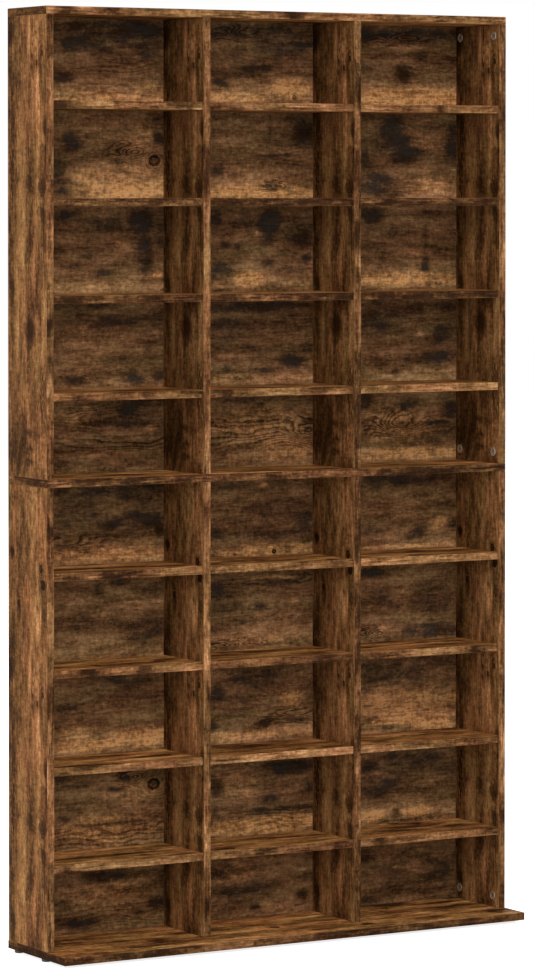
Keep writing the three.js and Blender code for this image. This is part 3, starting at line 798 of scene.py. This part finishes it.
def looked_at(graph):
    """1 for what is seen, straight, in a reflection or through glass, and 0 for light on the object."""
    path = graph.node("ShaderNodeLightPath").outputs
    camera, glossy, through = (
        Value(path[f"Is {kind} Ray"]) for kind in ("Camera", "Glossy", "Transmission"))
    return camera.apply("MAXIMUM", glossy.apply("MAXIMUM", through))


def floor_material(stage):
    """Pale floor that looks white to the camera and in reflections, and keeps the soft shadow."""
    graph, shader = new_material("Studio floor")
    cloud = (graph.place() * 0.8).noise(detail=2.0)
    tone = graph.mix(cloud * 0.05, opaque(stage.floor_colour), (0.7, 0.7, 0.7, 1.0))
    graph.put(shader.inputs["Base Color"], tone)
    shader.inputs["Roughness"].default_value = 0.9
    glow = graph.add("ShaderNodeEmission", (1.0, 1.0, 1.0, 1.0), looked_at(graph) * stage.floor_glow)
    blend = graph.add("ShaderNodeAddShader", Value(shader.outputs[0]), glow)
    graph.put(graph.tree.nodes["Material Output"].inputs["Surface"], blend)


def finish_tree(graph, geometry, material, result):
    """Every shape tree ends in real geometry with its material set."""
    real = graph.add("GeometryNodeRealizeInstances", geometry)
    painted = graph.add("GeometryNodeSetMaterial", inputs={"Geometry": real, "Material": material})
    graph.put(result["Geometry"], painted)


def rounded_board_tree():
    """A board of any size with rounded edges, on a lattice of about one cell."""
    graph, given, result = new_group(
        "Rounded board", "GeometryNodeTree",
        {"Size": (VECTOR, (1.0, 1.0, 1.0)), "Centre": (VECTOR, None), "Radius": (NUMBER, 0.001),
         "Cell": (NUMBER, 0.01), "Material": (MATERIAL, None)}, {"Geometry": GEOMETRY})
    radius = given["Radius"]
    cells = (given["Size"] / given["Cell"]).apply("CEIL") + 2.0
    cube = graph.add("GeometryNodeMeshCube", (2.0, 2.0, 2.0), *(cells + 1.0).split(), output="Mesh")
    place = graph.add("GeometryNodeInputPosition")
    stride = 2.0 / cells
    far = place.apply("ABSOLUTE")
    is_outer = (far + stride * 0.5).apply("FLOOR")
    half = given["Size"] * 0.5
    core = half - radius
    inner = core * far / (1.0 - stride)
    lattice = place.apply("SIGN") * (is_outer * half + (1.0 - is_outer) * inner)
    kept = lattice.apply("MINIMUM", core).apply("MAXIMUM", core * -1.0)
    away = (lattice - kept).apply("NORMALIZE") * radius
    inputs = {"Geometry": cube, "Position": kept + away + given["Centre"]}
    finish_tree(graph, graph.add("GeometryNodeSetPosition", inputs=inputs), given["Material"], result)


def moved(graph, geometry, offset, turn=(0.0, 0.0, 0.0)):
    """The geometry shifted and turned."""
    inputs = {"Geometry": geometry, "Translation": offset, "Rotation": turn}
    return graph.add("GeometryNodeTransform", inputs=inputs)


def boolean(graph, operation, tools, base=None):
    """The union of meshes, or the base mesh without them."""
    node = graph.node("GeometryNodeMeshBoolean", operation=operation, solver="EXACT")
    if base:
        graph.put(node.inputs["Mesh 1"], base)
    for tool in tools:
        graph.put(node.inputs["Mesh 2"], tool)
    return Value(node.outputs["Mesh"])


def cam_tree():
    """A cam lock's disc facing +Z: a chamfered rim round a dished face with a cross for the driver."""
    graph, given, result = new_group(
        "Cam lock", "GeometryNodeTree",
        {"Radius": (NUMBER, 0.0075), "Depth": (NUMBER, 0.012), "Chamfer": (NUMBER, 0.0005),
         "Dish radius": (NUMBER, 0.005), "Dish depth": (NUMBER, 0.0005), "Slot width": (NUMBER, 0.0016),
         "Slot depth": (NUMBER, 0.002), "Turn": (NUMBER, 0.0), "Material": (MATERIAL, None)},
        {"Geometry": GEOMETRY})
    radius, chamfer, width = given["Radius"], given["Chamfer"], given["Slot width"]

    def drum(own_radius, depth):
        inputs = {"Vertices": ROUND_SIDES, "Radius": own_radius, "Depth": depth}
        return graph.add("GeometryNodeMeshCylinder", output="Mesh", inputs=inputs)

    body_depth = given["Depth"] - chamfer
    body = moved(graph, drum(radius, body_depth), graph.joined(0.0, 0.0, body_depth * -0.5 - chamfer))
    crown = graph.add("GeometryNodeMeshCone", output="Mesh", inputs={
        "Vertices": ROUND_SIDES, "Radius Top": radius - chamfer, "Radius Bottom": radius, "Depth": chamfer})
    crown = moved(graph, crown, graph.joined(0.0, 0.0, chamfer * -1.0))
    reach, deep = radius * 1.3, given["Slot depth"] * 2.0
    turn = graph.joined(0.0, 0.0, given["Turn"])
    bars = []
    for size in ((reach, width, deep), (width, reach, deep)):
        bar = graph.add("GeometryNodeMeshCube", graph.joined(*size), output="Mesh")
        bars.append(moved(graph, bar, (0.0, 0.0, 0.0), turn))
    dish = drum(given["Dish radius"], given["Dish depth"] * 2.0)
    disc = boolean(graph, "DIFFERENCE", (dish, *bars), base=boolean(graph, "UNION", (body, crown)))
    finish_tree(graph, disc, given["Material"], result)


def nail_tree():
    """Nail heads facing +Z, one spacing apart round a rectangle."""
    graph, given, result = new_group(
        "Nail row", "GeometryNodeTree",
        {"Width": (NUMBER, 0.3), "Height": (NUMBER, 0.8), "Spacing": (NUMBER, 0.1),
         "Head radius": (NUMBER, 0.002), "Head height": (NUMBER, 0.0007), "Material": (MATERIAL, None)},
        {"Geometry": GEOMETRY})
    outline = graph.add("GeometryNodeCurvePrimitiveQuadrilateral", inputs={
        "Width": given["Width"], "Height": given["Height"]})
    points = graph.add("GeometryNodeCurveToPoints", output="Points", mode="LENGTH", inputs={
        "Curve": outline, "Length": given["Spacing"]})
    dome = graph.add("GeometryNodeMeshUVSphere", output="Mesh", inputs={
        "Segments": 16, "Rings": 8, "Radius": given["Head radius"]})
    flat = graph.add("GeometryNodeTransform", inputs={
        "Geometry": dome, "Scale": graph.joined(1.0, 1.0, given["Head height"] / given["Head radius"])})
    heads = graph.add("GeometryNodeInstanceOnPoints", inputs={"Points": points, "Instance": flat})
    finish_tree(graph, heads, given["Material"], result)


def grown_mesh(name, shape, material, values):
    """The plain mesh that a shape tree makes with this material and these inputs."""
    host = bpy.data.objects.new(name, bpy.data.meshes.new(name))
    bpy.context.scene.collection.objects.link(host)
    modifier = host.modifiers.new("Shape", "NODES")
    modifier.node_group = bpy.data.node_groups[shape]
    values = {**values, "Material": bpy.data.materials[material]}
    for item in modifier.node_group.interface.items_tree:
        if item.item_type == "SOCKET" and item.in_out == "INPUT":
            modifier[item.identifier] = values[item.name]
    evaluated = host.evaluated_get(bpy.context.evaluated_depsgraph_get())
    mesh = bpy.data.meshes.new_from_object(evaluated)
    mesh.name = name
    while mesh.materials[0] is None:
        mesh.materials.pop(index=0)
    bpy.data.objects.remove(host)
    return mesh


def board_mesh(name, low, high, radius, cell, material):
    """A rounded board between two corners."""
    size = tuple(b - a for a, b in zip(low, high))
    centre = tuple((a + b) / 2 for a, b in zip(low, high))
    values = {"Size": size, "Centre": centre, "Radius": radius, "Cell": cell}
    return grown_mesh(name, "Rounded board", material, values)


def turned_mesh(name, profile):
    """A closed body of revolution about Z from (radius, height) points that start and end on the axis."""
    shape = bmesh.new()
    points = [shape.verts.new((radius, 0.0, height)) for radius, height in profile]
    edges = [shape.edges.new(pair) for pair in zip(points, points[1:])]
    bmesh.ops.spin(
        shape, geom=points + edges, cent=(0, 0, 0), axis=(0, 0, 1), angle=2 * math.pi, steps=ROUND_SIDES)
    bmesh.ops.remove_doubles(shape, verts=shape.verts, dist=1e-6)
    bmesh.ops.recalc_face_normals(shape, faces=shape.faces)
    mesh = bpy.data.meshes.new(name)
    shape.to_mesh(mesh)
    shape.free()
    return mesh


def place_piece(name, mesh, slot, *nodes):
    """Links a finished mesh as a piece of the tower that stands for these nodes."""
    piece = bpy.data.objects.new(name, mesh)
    bpy.context.scene.collection.objects.link(piece)
    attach(piece, "root")
    if nodes:
        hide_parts(*nodes)


def in_metres(marks):
    """A sheet's marks of every kind, in metres and whole strengths."""
    return {kind: [tuple(value / unit for value, unit in zip(mark, units)) for mark in marks.get(kind, ())]
            for kind, units in MARK_UNITS.items()}


def soft_marks(marks, along, across, power=1.0):
    """Strength of the strongest mark at each point. A higher power gives firmer edges."""
    result = np.zeros_like(along)
    for centre_along, centre_across, half_length, half_width, strength in marks:
        square = ((along - centre_along) / half_length) ** 2 + ((across - centre_across) / half_width) ** 2
        result = np.maximum(result, strength * np.exp(-0.8 * square ** power))
    return result


def strewn_marks(seed, low, high, across_low, across_high):
    """Marks strewn over a face from a fixed seed: stains, worn patches and a knot or two."""
    draw = random.Random(seed)
    area = (high - low) * (across_high - across_low)

    def strewn(count, *ranges):
        ranges = ((low, high), (across_low, across_high), *ranges)
        return [tuple(draw.uniform(*limits) for limits in ranges) for _ in range(count)]

    stains = 2 + round(area * 110)
    knots = strewn(1 + round(area * 14), (0.004, 0.009))
    return {"smoke_and_shadow": strewn(stains, (0.02, 0.08), (0.006, 0.022), (0.4, 1.0)),
            "wear_and_light": strewn(stains, (0.03, 0.12), (0.006, 0.020), (0.4, 1.0)),
            "lines": strewn(1 + stains // 4, (0.05, 0.12), (0.010, 0.030), (0.4, 0.9)), "knots": knots,
            "swirls": ()}


def nearest(places, along, across):
    """Each place with the points that it is nearest to."""
    if not places:
        return []
    distance = np.stack([np.hypot(along - place[0], across - place[1]) for place in places])
    choice = np.argmin(distance, axis=0)
    return [(place, choice == number) for number, place in enumerate(places)]


class Sheet:
    """A piece of decor: its seed, its marks, how its coordinates start, and its base wear, smoke and tint.
    Its wear also holds painted light, its smoke painted shadow, and some of its tints painted light and
    shade.
    """

    def __init__(self, seed, marks=None, start=(0.0, 0.0), wear_and_light=0.0, smoke_and_shadow=0.0, tint=NO_TINT):
        self.seed = seed
        self.marks = marks or in_metres({})
        self.start = start
        self.wear_and_light = wear_and_light
        self.smoke_and_shadow = smoke_and_shadow
        self.tint = tint

    def print_on(self, along, across, centre_along, centre_across):
        """Grain, knot, swirl and tone values for face corners at these places, given their faces' centres."""
        along, across = along - self.start[0], across - self.start[1]
        centre = centre_along - self.start[0], centre_across - self.start[1]
        grain = np.stack([along, across, np.full_like(along, self.seed)], axis=1)
        tone = [np.maximum(soft_marks(self.marks["smoke_and_shadow"], along, across), self.smoke_and_shadow),
                np.maximum(soft_marks(self.marks["wear_and_light"], along, across, 1.5), self.wear_and_light),
                soft_marks(self.marks["lines"], along, across, 1.5)]
        knot = np.tile(FAR_KNOT, (len(along), 1))
        for (knot_along, knot_across, radius), chosen in nearest(self.marks["knots"], *centre):
            here = np.stack([along - knot_along, across - knot_across, np.full_like(along, radius)], axis=1)
            knot = np.where(chosen[:, None], here, knot)
        swirl = np.tile(NO_SWIRL, (len(along), 1))
        for (swirl_along, swirl_across, long, wide, rings), chosen in nearest(self.marks["swirls"], *centre):
            here = np.stack([(along - swirl_along) / long, (across - swirl_across) / wide,
                             np.full_like(along, rings)], axis=1)
            swirl = np.where(chosen[:, None], here, swirl)
        return grain, knot, swirl, np.stack(tone, axis=1)


def read(items, name, kind=float, width=1):
    """One property of all of a mesh's vertices, corners or faces."""
    values = np.empty(len(items) * width, dtype=kind)
    items.foreach_get(name, values)
    return values.reshape(-1, width) if width > 1 else values


def print_board(mesh, grain_axis, thick_axis, radius, sheets):
    """Prints decor on a board's six sides. sheets gives one for each (axis, sign) that a side faces."""
    width_axis = 3 - grain_axis - thick_axis
    corners = len(mesh.loops)
    place = read(mesh.vertices, "co", width=3)[read(mesh.loops, "vertex_index", np.int32)]
    sizes = read(mesh.polygons, "loop_total", np.int32)
    normal, centre = (
        np.repeat(read(mesh.polygons, name, width=3), sizes, axis=0) for name in ("normal", "center"))
    facing = np.argmax(np.abs(normal) + (0.0, 1e-4, 2e-4), axis=1)
    low, high = place.min(axis=0), place.max(axis=0)
    inwards = np.minimum(place - low, high - place)
    values = {name: np.zeros((corners, 3)) for name in ("grain", "knot", "swirl", "tint")}
    marks = np.zeros((corners, 4))
    directions = {thick_axis: (grain_axis, width_axis), width_axis: (grain_axis, thick_axis),
                  grain_axis: (width_axis, thick_axis)}
    for (axis, sign), sheet in sheets.items():
        along, across = directions[axis]
        chosen = (facing == axis) & (normal[np.arange(corners), facing] * sign > 0)
        printed = sheet.print_on(
            place[chosen, along], place[chosen, across], centre[chosen, along], centre[chosen, across])
        for name, part in zip(("grain", "knot", "swirl"), printed):
            values[name][chosen] = part
        values["tint"][chosen] = sheet.tint
        marks[chosen, :3] = printed[3]
        to_edge = np.minimum(inwards[chosen, along], inwards[chosen, across])
        # The fourth channel lightens corners next to an edge: rubbed wear and a painted highlight along the
        # edges.
        marks[chosen, 3] = np.clip(1.6 - 1.6 * to_edge / radius, 0.0, 1.0)
    for name, vectors in values.items():
        mesh.attributes.new(name, "FLOAT_VECTOR", "CORNER").data.foreach_set("vector", vectors.ravel())
    mesh.attributes.new("marks", "FLOAT_COLOR", "CORNER").data.foreach_set("color", marks.ravel())


def repaint(mesh, material, choose):
    """Gives a second material to the faces that choose picks by their normals."""
    mesh.materials.append(bpy.data.materials[material])
    chosen = choose(read(mesh.polygons, "normal", width=3))
    mesh.polygons.foreach_set("material_index", chosen.astype(np.int32))


def banded_sheets(seed, thick_axis, faces, band_wear=0.0, band_smoke=0.0):
    """Sheets for all six sides: the two wide ones as given, and edge bands with streaks of their own."""
    sheets = {}
    for axis in (X, Y, Z):
        for number, sign in enumerate((-1, 1)):
            own_seed = seed + 1.7 * axis + 0.9 * number + 0.35
            sheets[axis, sign] = Sheet(own_seed, wear_and_light=band_wear, smoke_and_shadow=band_smoke)
    sheets.update({(thick_axis, sign): sheet for sign, sheet in faces.items()})
    return sheets


def front_sheet(node, seed):
    """Decor of a board's front edge, with its own patches."""
    dark, light, smoke_and_shadow, wear_and_light = FRONT_MARKS[node]
    marks = in_metres({
        "smoke_and_shadow": [(along, 0, reach, WHOLE_WIDTH, strength) for along, reach, strength in dark],
        "wear_and_light": [(along, 0, reach, WHOLE_WIDTH, strength / 2) for along, reach, strength in light]})
    return Sheet(seed, marks, smoke_and_shadow=smoke_and_shadow / 100 + EDGE_SMOKE, wear_and_light=max(wear_and_light / 100 - EDGE_WEAR_LESS, 0.0),
                 tint=EDGE_TINT)


def upright_span(name):
    """Left and right face of an upright, from its side that carries no cams."""
    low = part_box(f"upper_{name}")[0].x
    return low, low + BOARD


def board_seed(seeds, number, unit="lower"):
    """Seed of a board's decor, by its number among the like boards of its unit."""
    first, step, upper = seeds
    return first + step * number + (upper if unit == "upper" else 0.0)


def column_span(column):
    """Where a column starts and ends between its two uprights."""
    return upright_span(UPRIGHTS[column])[1], upright_span(UPRIGHTS[column + 1])[0]


def make_lying_board(node, low, high, seed, wear_and_light, band_wear=BAND_WEAR, band_smoke=0.0, worn_strips=()):
    """A shelf or a long board, with strewn marks above and below and its own patches along the front."""
    boards = bpy.context.scene.tower_boards
    faces = {}
    for sign in (-1, 1):
        marks = strewn_marks(seed + sign, low[X], high[X], low[Y], high[Y])
        marks["wear_and_light"] += worn_strips
        faces[sign] = Sheet(seed + sign, marks, wear_and_light=wear_and_light, tint=TOP_TINT)
    sheets = banded_sheets(seed + 3.0, Z, faces, band_wear, band_smoke)
    sheets[Y, -1] = front_sheet(node, seed + 5.0)
    mesh = board_mesh(node, low, high, boards.edge_radius, boards.cell, "Smoked oak")
    print_board(mesh, X, Z, boards.edge_radius, sheets)
    place_piece(f"board_{node}", mesh, "oak_boards", node)


class TOWER_OT_stage(bpy.types.Operator):
    """Camera at the photographed view, soft studio lamps and a pale floor"""

    bl_idname = "tower.stage"
    bl_label = "Stage"

    def execute(self, context):
        stage = context.scene.tower_stage
        scene = context.scene
        camera = bpy.data.objects.new("camera", bpy.data.cameras.new("camera"))
        camera.location = stage.camera_place
        camera.rotation_euler = (math.pi / 2 - stage.camera_pitch, 0.0, -stage.camera_yaw)
        camera.data.lens = stage.camera_lens
        camera.data.shift_y = stage.camera_shift
        camera.data.clip_end = 100.0
        scene.collection.objects.link(camera)
        scene.camera = camera
        self.make_lamp("key", stage.key_bearing, stage.key_height, KEY_DISTANCE, KEY_WIDTH, stage.key_power)
        for name, (bearing, height, distance, width) in LAMPS.items():
            strength = getattr(stage, f"{name}_power")
            self.make_lamp(name, math.radians(bearing), math.radians(height), distance, width, strength)
        self.make_floor(stage)
        self.make_sky(scene, stage)
        scene.view_settings.view_transform = "Standard"
        return {"FINISHED"}

    def make_lamp(self, name, bearing, height, distance, width, power):
        """A square lamp that faces the tower's middle from a bearing, to the right of straight in front."""
        lamp = bpy.data.lights.new(name, "AREA")
        lamp.size = width
        lamp.energy = power
        toward = Vector((math.sin(bearing), -math.cos(bearing), 0.0)) * math.cos(height)
        toward.z = math.sin(height)
        holder = bpy.data.objects.new(name, lamp)
        holder.location = (Vector(cad_low) + Vector(cad_high)) / 2 + toward * distance
        holder.rotation_euler = toward.to_track_quat("Z", "Y").to_euler()
        bpy.context.scene.collection.objects.link(holder)

    def make_floor(self, stage):
        """A flat square under the tower that belongs to the stage."""
        reach = stage.floor_reach
        mesh = bpy.data.meshes.new("floor")
        corners = [(-reach, -reach, 0), (reach, -reach, 0), (reach, reach, 0), (-reach, reach, 0)]
        mesh.from_pydata(corners, [], [(0, 1, 2, 3)])
        floor_material(stage)
        mesh.materials.append(bpy.data.materials["Studio floor"])
        floor = bpy.data.objects.new("floor", mesh)
        bpy.context.scene.collection.objects.link(floor)

    def make_sky(self, scene, stage):
        """A world that is white to look at and gives an even light of its own strength."""
        world = bpy.data.worlds.new("Studio")
        world.use_nodes = True
        scene.world = world
        graph = Graph(world.node_tree)
        seen = looked_at(graph)
        background = world.node_tree.nodes["Background"]
        background.inputs["Color"].default_value = (1.0, 1.0, 1.0, 1.0)
        graph.put(background.inputs["Strength"], seen + (1.0 - seen) * stage.sky_strength)


class TOWER_OT_finishes(bpy.types.Operator):
    """Materials and shape trees that the pieces share"""

    bl_idname = "tower.finishes"
    bl_label = "Finishes"

    def execute(self, context):
        finish = context.scene.tower_finish
        for build in (fibre_group, streak_group, ring_group, knot_group, patchy_mark_group):
            build()
        oak_material("Smoked oak", finish)
        oak_material("Smoked oak upright", finish, patchy=0.70, streaky=0.60)
        oak_material("Smoked oak back", finish, calm=0.60, patchy=0.70, streaky=0.34, saw=0.18)
        for build in (hardboard_material, zinc_material, glide_material):
            build(finish)
        for build in (rounded_board_tree, cam_tree, nail_tree):
            build()
        return {"FINISHED"}


class TOWER_OT_uprights(bpy.types.Operator):
    """The side panels and dividers of both units"""

    bl_idname = "tower.uprights"
    bl_label = "Uprights"

    def execute(self, context):
        boards = context.scene.tower_boards
        for unit in UNITS:
            for number, name in enumerate(UPRIGHTS):
                self.make(boards, unit, number, name)
        return {"FINISHED"}

    def make(self, boards, unit, number, name):
        node = f"{unit}_{name}"
        left, right = upright_span(name)
        front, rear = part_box(node)[0].y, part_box(node)[1].y
        low = (left, front, FLOORS[unit] + JOINT_GAP)
        high = (right, rear, CEILINGS[unit] - JOINT_GAP)
        mesh = board_mesh(node, low, high, boards.edge_radius, boards.cell, "Smoked oak upright")
        start = (FLOORS[unit] - UPRIGHT_SHEET_START[unit], 0.0)
        other = strewn_marks(30 + number, 0.0, 1.18, front, rear)
        # Painted light and shade: one print, with its own tints on the inner and the outer faces of each
        # unit.
        tint = (INNER_PAINTED_LIGHT_TINTS if number else OUTER_PAINTED_LIGHT_TINTS)[unit]
        # The lower unit's inner faces get base wear as painted light.
        wear_and_light = LOWER_INNER_PAINTED_LIGHT if number and unit == "lower" else 0.0
        faces = {-1: Sheet(2.0, in_metres(UPRIGHT_MARKS), start, wear_and_light, tint=tint),
                 1: Sheet(5.0 + number, other, start, tint=tint)}
        seed = board_seed(UPRIGHT_SEEDS, number, unit)
        sheets = banded_sheets(seed, X, faces, BAND_WEAR)
        sheets[Y, -1] = front_sheet(node, seed + 4.0)
        print_board(mesh, Z, X, boards.edge_radius, sheets)
        repaint(mesh, "Smoked oak", lambda normal: np.abs(normal[:, X]) < 0.7)
        place_piece(f"board_{node}", mesh, "oak_boards", node)


class TOWER_OT_shelves(bpy.types.Operator):
    """The shelves between the uprights"""

    bl_idname = "tower.shelves"
    bl_label = "Shelves"

    def execute(self, context):
        for unit in UNITS:
            for column, name in enumerate(COLUMNS):
                left, right = column_span(column)
                for number in SHELF_NUMBERS:
                    node = f"shelf_{unit}_{name}_{number}"
                    low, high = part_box(node)
                    start, end = (left + JOINT_GAP, low.y, low.z), (right - JOINT_GAP, high.y, high.z)
                    seed = 200.0 + 3.3 * sum(ord(letter) for letter in node) % 97
                    wear_and_light = SHELF_WEAR + SHELF_WEAR_STEP[unit] * (number - 1)
                    make_lying_board(node, start, end, seed, wear_and_light)
        return {"FINISHED"}


class TOWER_OT_long_boards(bpy.types.Operator):
    """The base plate, the middle board and the top board"""

    bl_idname = "tower.long_boards"
    bl_label = "Long boards"

    def execute(self, context):
        for number, node in enumerate(LONG_BOARDS):
            low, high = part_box(node)
            wear_and_light, smoke_and_shadow, strips = 0.0, LONG_BAND_SMOKE, ()
            if node == "base_plate":
                wear_and_light, smoke_and_shadow = PLATE_WEAR, PLATE_BAND_SMOKE
                strips = [(0.0, low.y + PLATE_STEP[0], *PLATE_STEP[1:])]
            make_lying_board(
                node, low, high, board_seed(LONG_SEEDS, number), wear_and_light, LONG_BAND_WEAR, smoke_and_shadow, strips)
        return {"FINISHED"}


class TOWER_OT_backs(bpy.types.Operator):
    """The thin back panels, printed in front and raw behind"""

    bl_idname = "tower.backs"
    bl_label = "Back panels"

    def execute(self, context):
        boards = context.scene.tower_boards
        for unit in UNITS:
            for column, name in enumerate(COLUMNS):
                self.make(boards, unit, column, name)
        return {"FINISHED"}

    def make(self, boards, unit, column, name):
        node = f"back_{unit}_{name}"
        low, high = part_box(node)
        rear = high.y - bpy.context.scene.tower_fittings.nail_height
        radius = boards.back_edge_radius
        mesh = board_mesh(
            node, low, (high.x, rear, high.z), radius, boards.cell * BACK_CELL_SHARE, "Smoked oak back")
        seed = board_seed(BACK_SEEDS, column, unit)
        # The back marks hold painted shadows under the shelves and painted pools of light at the
        # compartments' bottoms.
        marks = in_metres(BACK_MARKS[f"{unit}_{name}"])
        start = (sum(column_span(column)) / 2, FLOORS[unit])
        # The lower backs' higher base wear is painted light on top of their own wear.
        front = Sheet(seed, marks, start, BACK_WEAR_AND_LIGHT[unit], tint=BACK_TINT)
        print_board(mesh, X, Y, radius, banded_sheets(seed + 1.0, Y, {-1: front, 1: Sheet(seed + 2.0)}))
        repaint(mesh, "Raw hardboard", lambda normal: normal[:, Y] > -0.5)
        place_piece(f"panel_{node}", mesh, "back_panels", node)


class TOWER_OT_cams(bpy.types.Operator):
    """The cam locks of the side panels and the dividers"""

    bl_idname = "tower.cams"
    bl_label = "Cam locks"

    def execute(self, context):
        fittings = context.scene.tower_fittings
        for unit in UNITS:
            for end in CAM_ENDS[unit]:
                for row in ROWS:
                    self.make_row(fittings, unit, end, row)
        return {"FINISHED"}

    def make_row(self, fittings, unit, end, row):
        """The cams at one height and depth: the sides' face inwards and the dividers' to the right."""
        for name in UPRIGHTS:
            kind, hand = name.split("_")
            node = f"cam_lock_{unit}_{hand}_{end}_{row}"
            low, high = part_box(node)
            rim = (high.y - low.y) / 2
            height = high.z - rim if end == "bottom" else low.z + rim
            left, right = upright_span(name)
            sign = -1 if name == "side_right" else 1
            mesh = grown_mesh(node, "Cam lock", "Die cast zinc", {
                "Radius": rim, "Depth": BOARD * 0.5 + fittings.cam_crown, "Chamfer": fittings.cam_chamfer,
                "Dish radius": rim * fittings.cam_dish_share, "Dish depth": fittings.cam_dish_depth,
                "Slot width": fittings.cam_slot_width, "Slot depth": fittings.cam_slot_depth,
                "Turn": fittings.cam_turn * (1 if row == "front" else REAR_CAM_TURN)})
            turn = Matrix.Rotation(sign * math.pi / 2, 4, "Y")
            face = (right if sign > 0 else left) + sign * fittings.cam_crown
            mesh.transform(Matrix.Translation((face, (low.y + high.y) / 2, height)) @ turn)
            replaced = [node] if kind == "side" else []
            place_piece(f"cam_{unit}_{name}_{end}_{row}", mesh, "cam_zinc", *replaced)


class TOWER_OT_glides(bpy.types.Operator):
    """The nail-on glides under the base plate"""

    bl_idname = "tower.glides"
    bl_label = "Glides"

    def execute(self, context):
        for column in COLUMNS:
            for row in ROWS:
                self.make(f"foot_{column}_{row}")
        return {"FINISHED"}

    def make(self, node):
        low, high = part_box(node)
        radius = (high.y - low.y) / 2
        tall = PLATE[0].z - low.z
        mesh = turned_mesh(node, [(across * radius, up * tall) for across, up in GLIDE_OUTLINE])
        mesh.transform(Matrix.Translation(((low.x + high.x) / 2, (low.y + high.y) / 2, low.z)))
        mesh.materials.append(bpy.data.materials["Glide plastic"])
        place_piece(f"glide_{node}", mesh, "glide_plastic", node)


class TOWER_OT_nails(bpy.types.Operator):
    """The nails that hold the back panels"""

    bl_idname = "tower.nails"
    bl_label = "Nails"

    def execute(self, context):
        fittings = context.scene.tower_fittings
        inset = 2 * fittings.nail_inset
        stand = Matrix.Rotation(-math.pi / 2, 4, "X")
        for unit in UNITS:
            for name in COLUMNS:
                low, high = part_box(f"back_{unit}_{name}")
                mesh = grown_mesh(f"nails_{unit}_{name}", "Nail row", "Die cast zinc", {
                    "Width": high.x - low.x - inset, "Height": high.z - low.z - inset,
                    "Spacing": fittings.nail_spacing, "Head radius": fittings.nail_radius,
                    "Head height": fittings.nail_height})
                seat = high.y - fittings.nail_height
                place = Matrix.Translation(((low.x + high.x) / 2, seat, (low.z + high.z) / 2))
                mesh.transform(place @ stand)
                place_piece(f"nails_{unit}_{name}", mesh, "cam_zinc")
        return {"FINISHED"}


class TOWER_PT_panel(bpy.types.Panel):
    """Buttons for every step and the sizes and colours behind them"""

    bl_idname = "TOWER_PT_panel"
    bl_label = "Disc storage tower"
    bl_space_type = "VIEW_3D"
    bl_region_type = "UI"
    bl_category = "Disc tower"

    def draw(self, context):
        for operator in OPERATORS:
            self.layout.operator(operator.bl_idname)
        for group in SETTINGS:
            box = self.layout.box()
            settings = getattr(context.scene, group)
            for name in settings.bl_rna.properties.keys():
                if name not in ("rna_type", "name"):
                    box.prop(settings, name)


SETTINGS = {"tower_boards": TowerBoards, "tower_finish": TowerFinish, "tower_fittings": TowerFittings,
            "tower_stage": TowerStage}
OPERATORS = (TOWER_OT_stage, TOWER_OT_finishes, TOWER_OT_uprights, TOWER_OT_shelves, TOWER_OT_long_boards,
             TOWER_OT_backs, TOWER_OT_cams, TOWER_OT_glides, TOWER_OT_nails)
CLASSES = (*SETTINGS.values(), *OPERATORS, TOWER_PT_panel)


def register():
    for kind in CLASSES:
        bpy.utils.register_class(kind)
    for name, group in SETTINGS.items():
        setattr(bpy.types.Scene, name, PointerProperty(type=group))


def unregister():
    for name in SETTINGS:
        delattr(bpy.types.Scene, name)
    for kind in reversed(CLASSES):
        bpy.utils.unregister_class(kind)


def main():
    register()
    bpy.ops.tower.stage()
    bpy.ops.tower.finishes()
    bpy.ops.tower.uprights()
    bpy.ops.tower.shelves()
    bpy.ops.tower.long_boards()
    bpy.ops.tower.backs()
    bpy.ops.tower.cams()
    bpy.ops.tower.glides()
    bpy.ops.tower.nails()


if __name__ == "__main__":
    main()
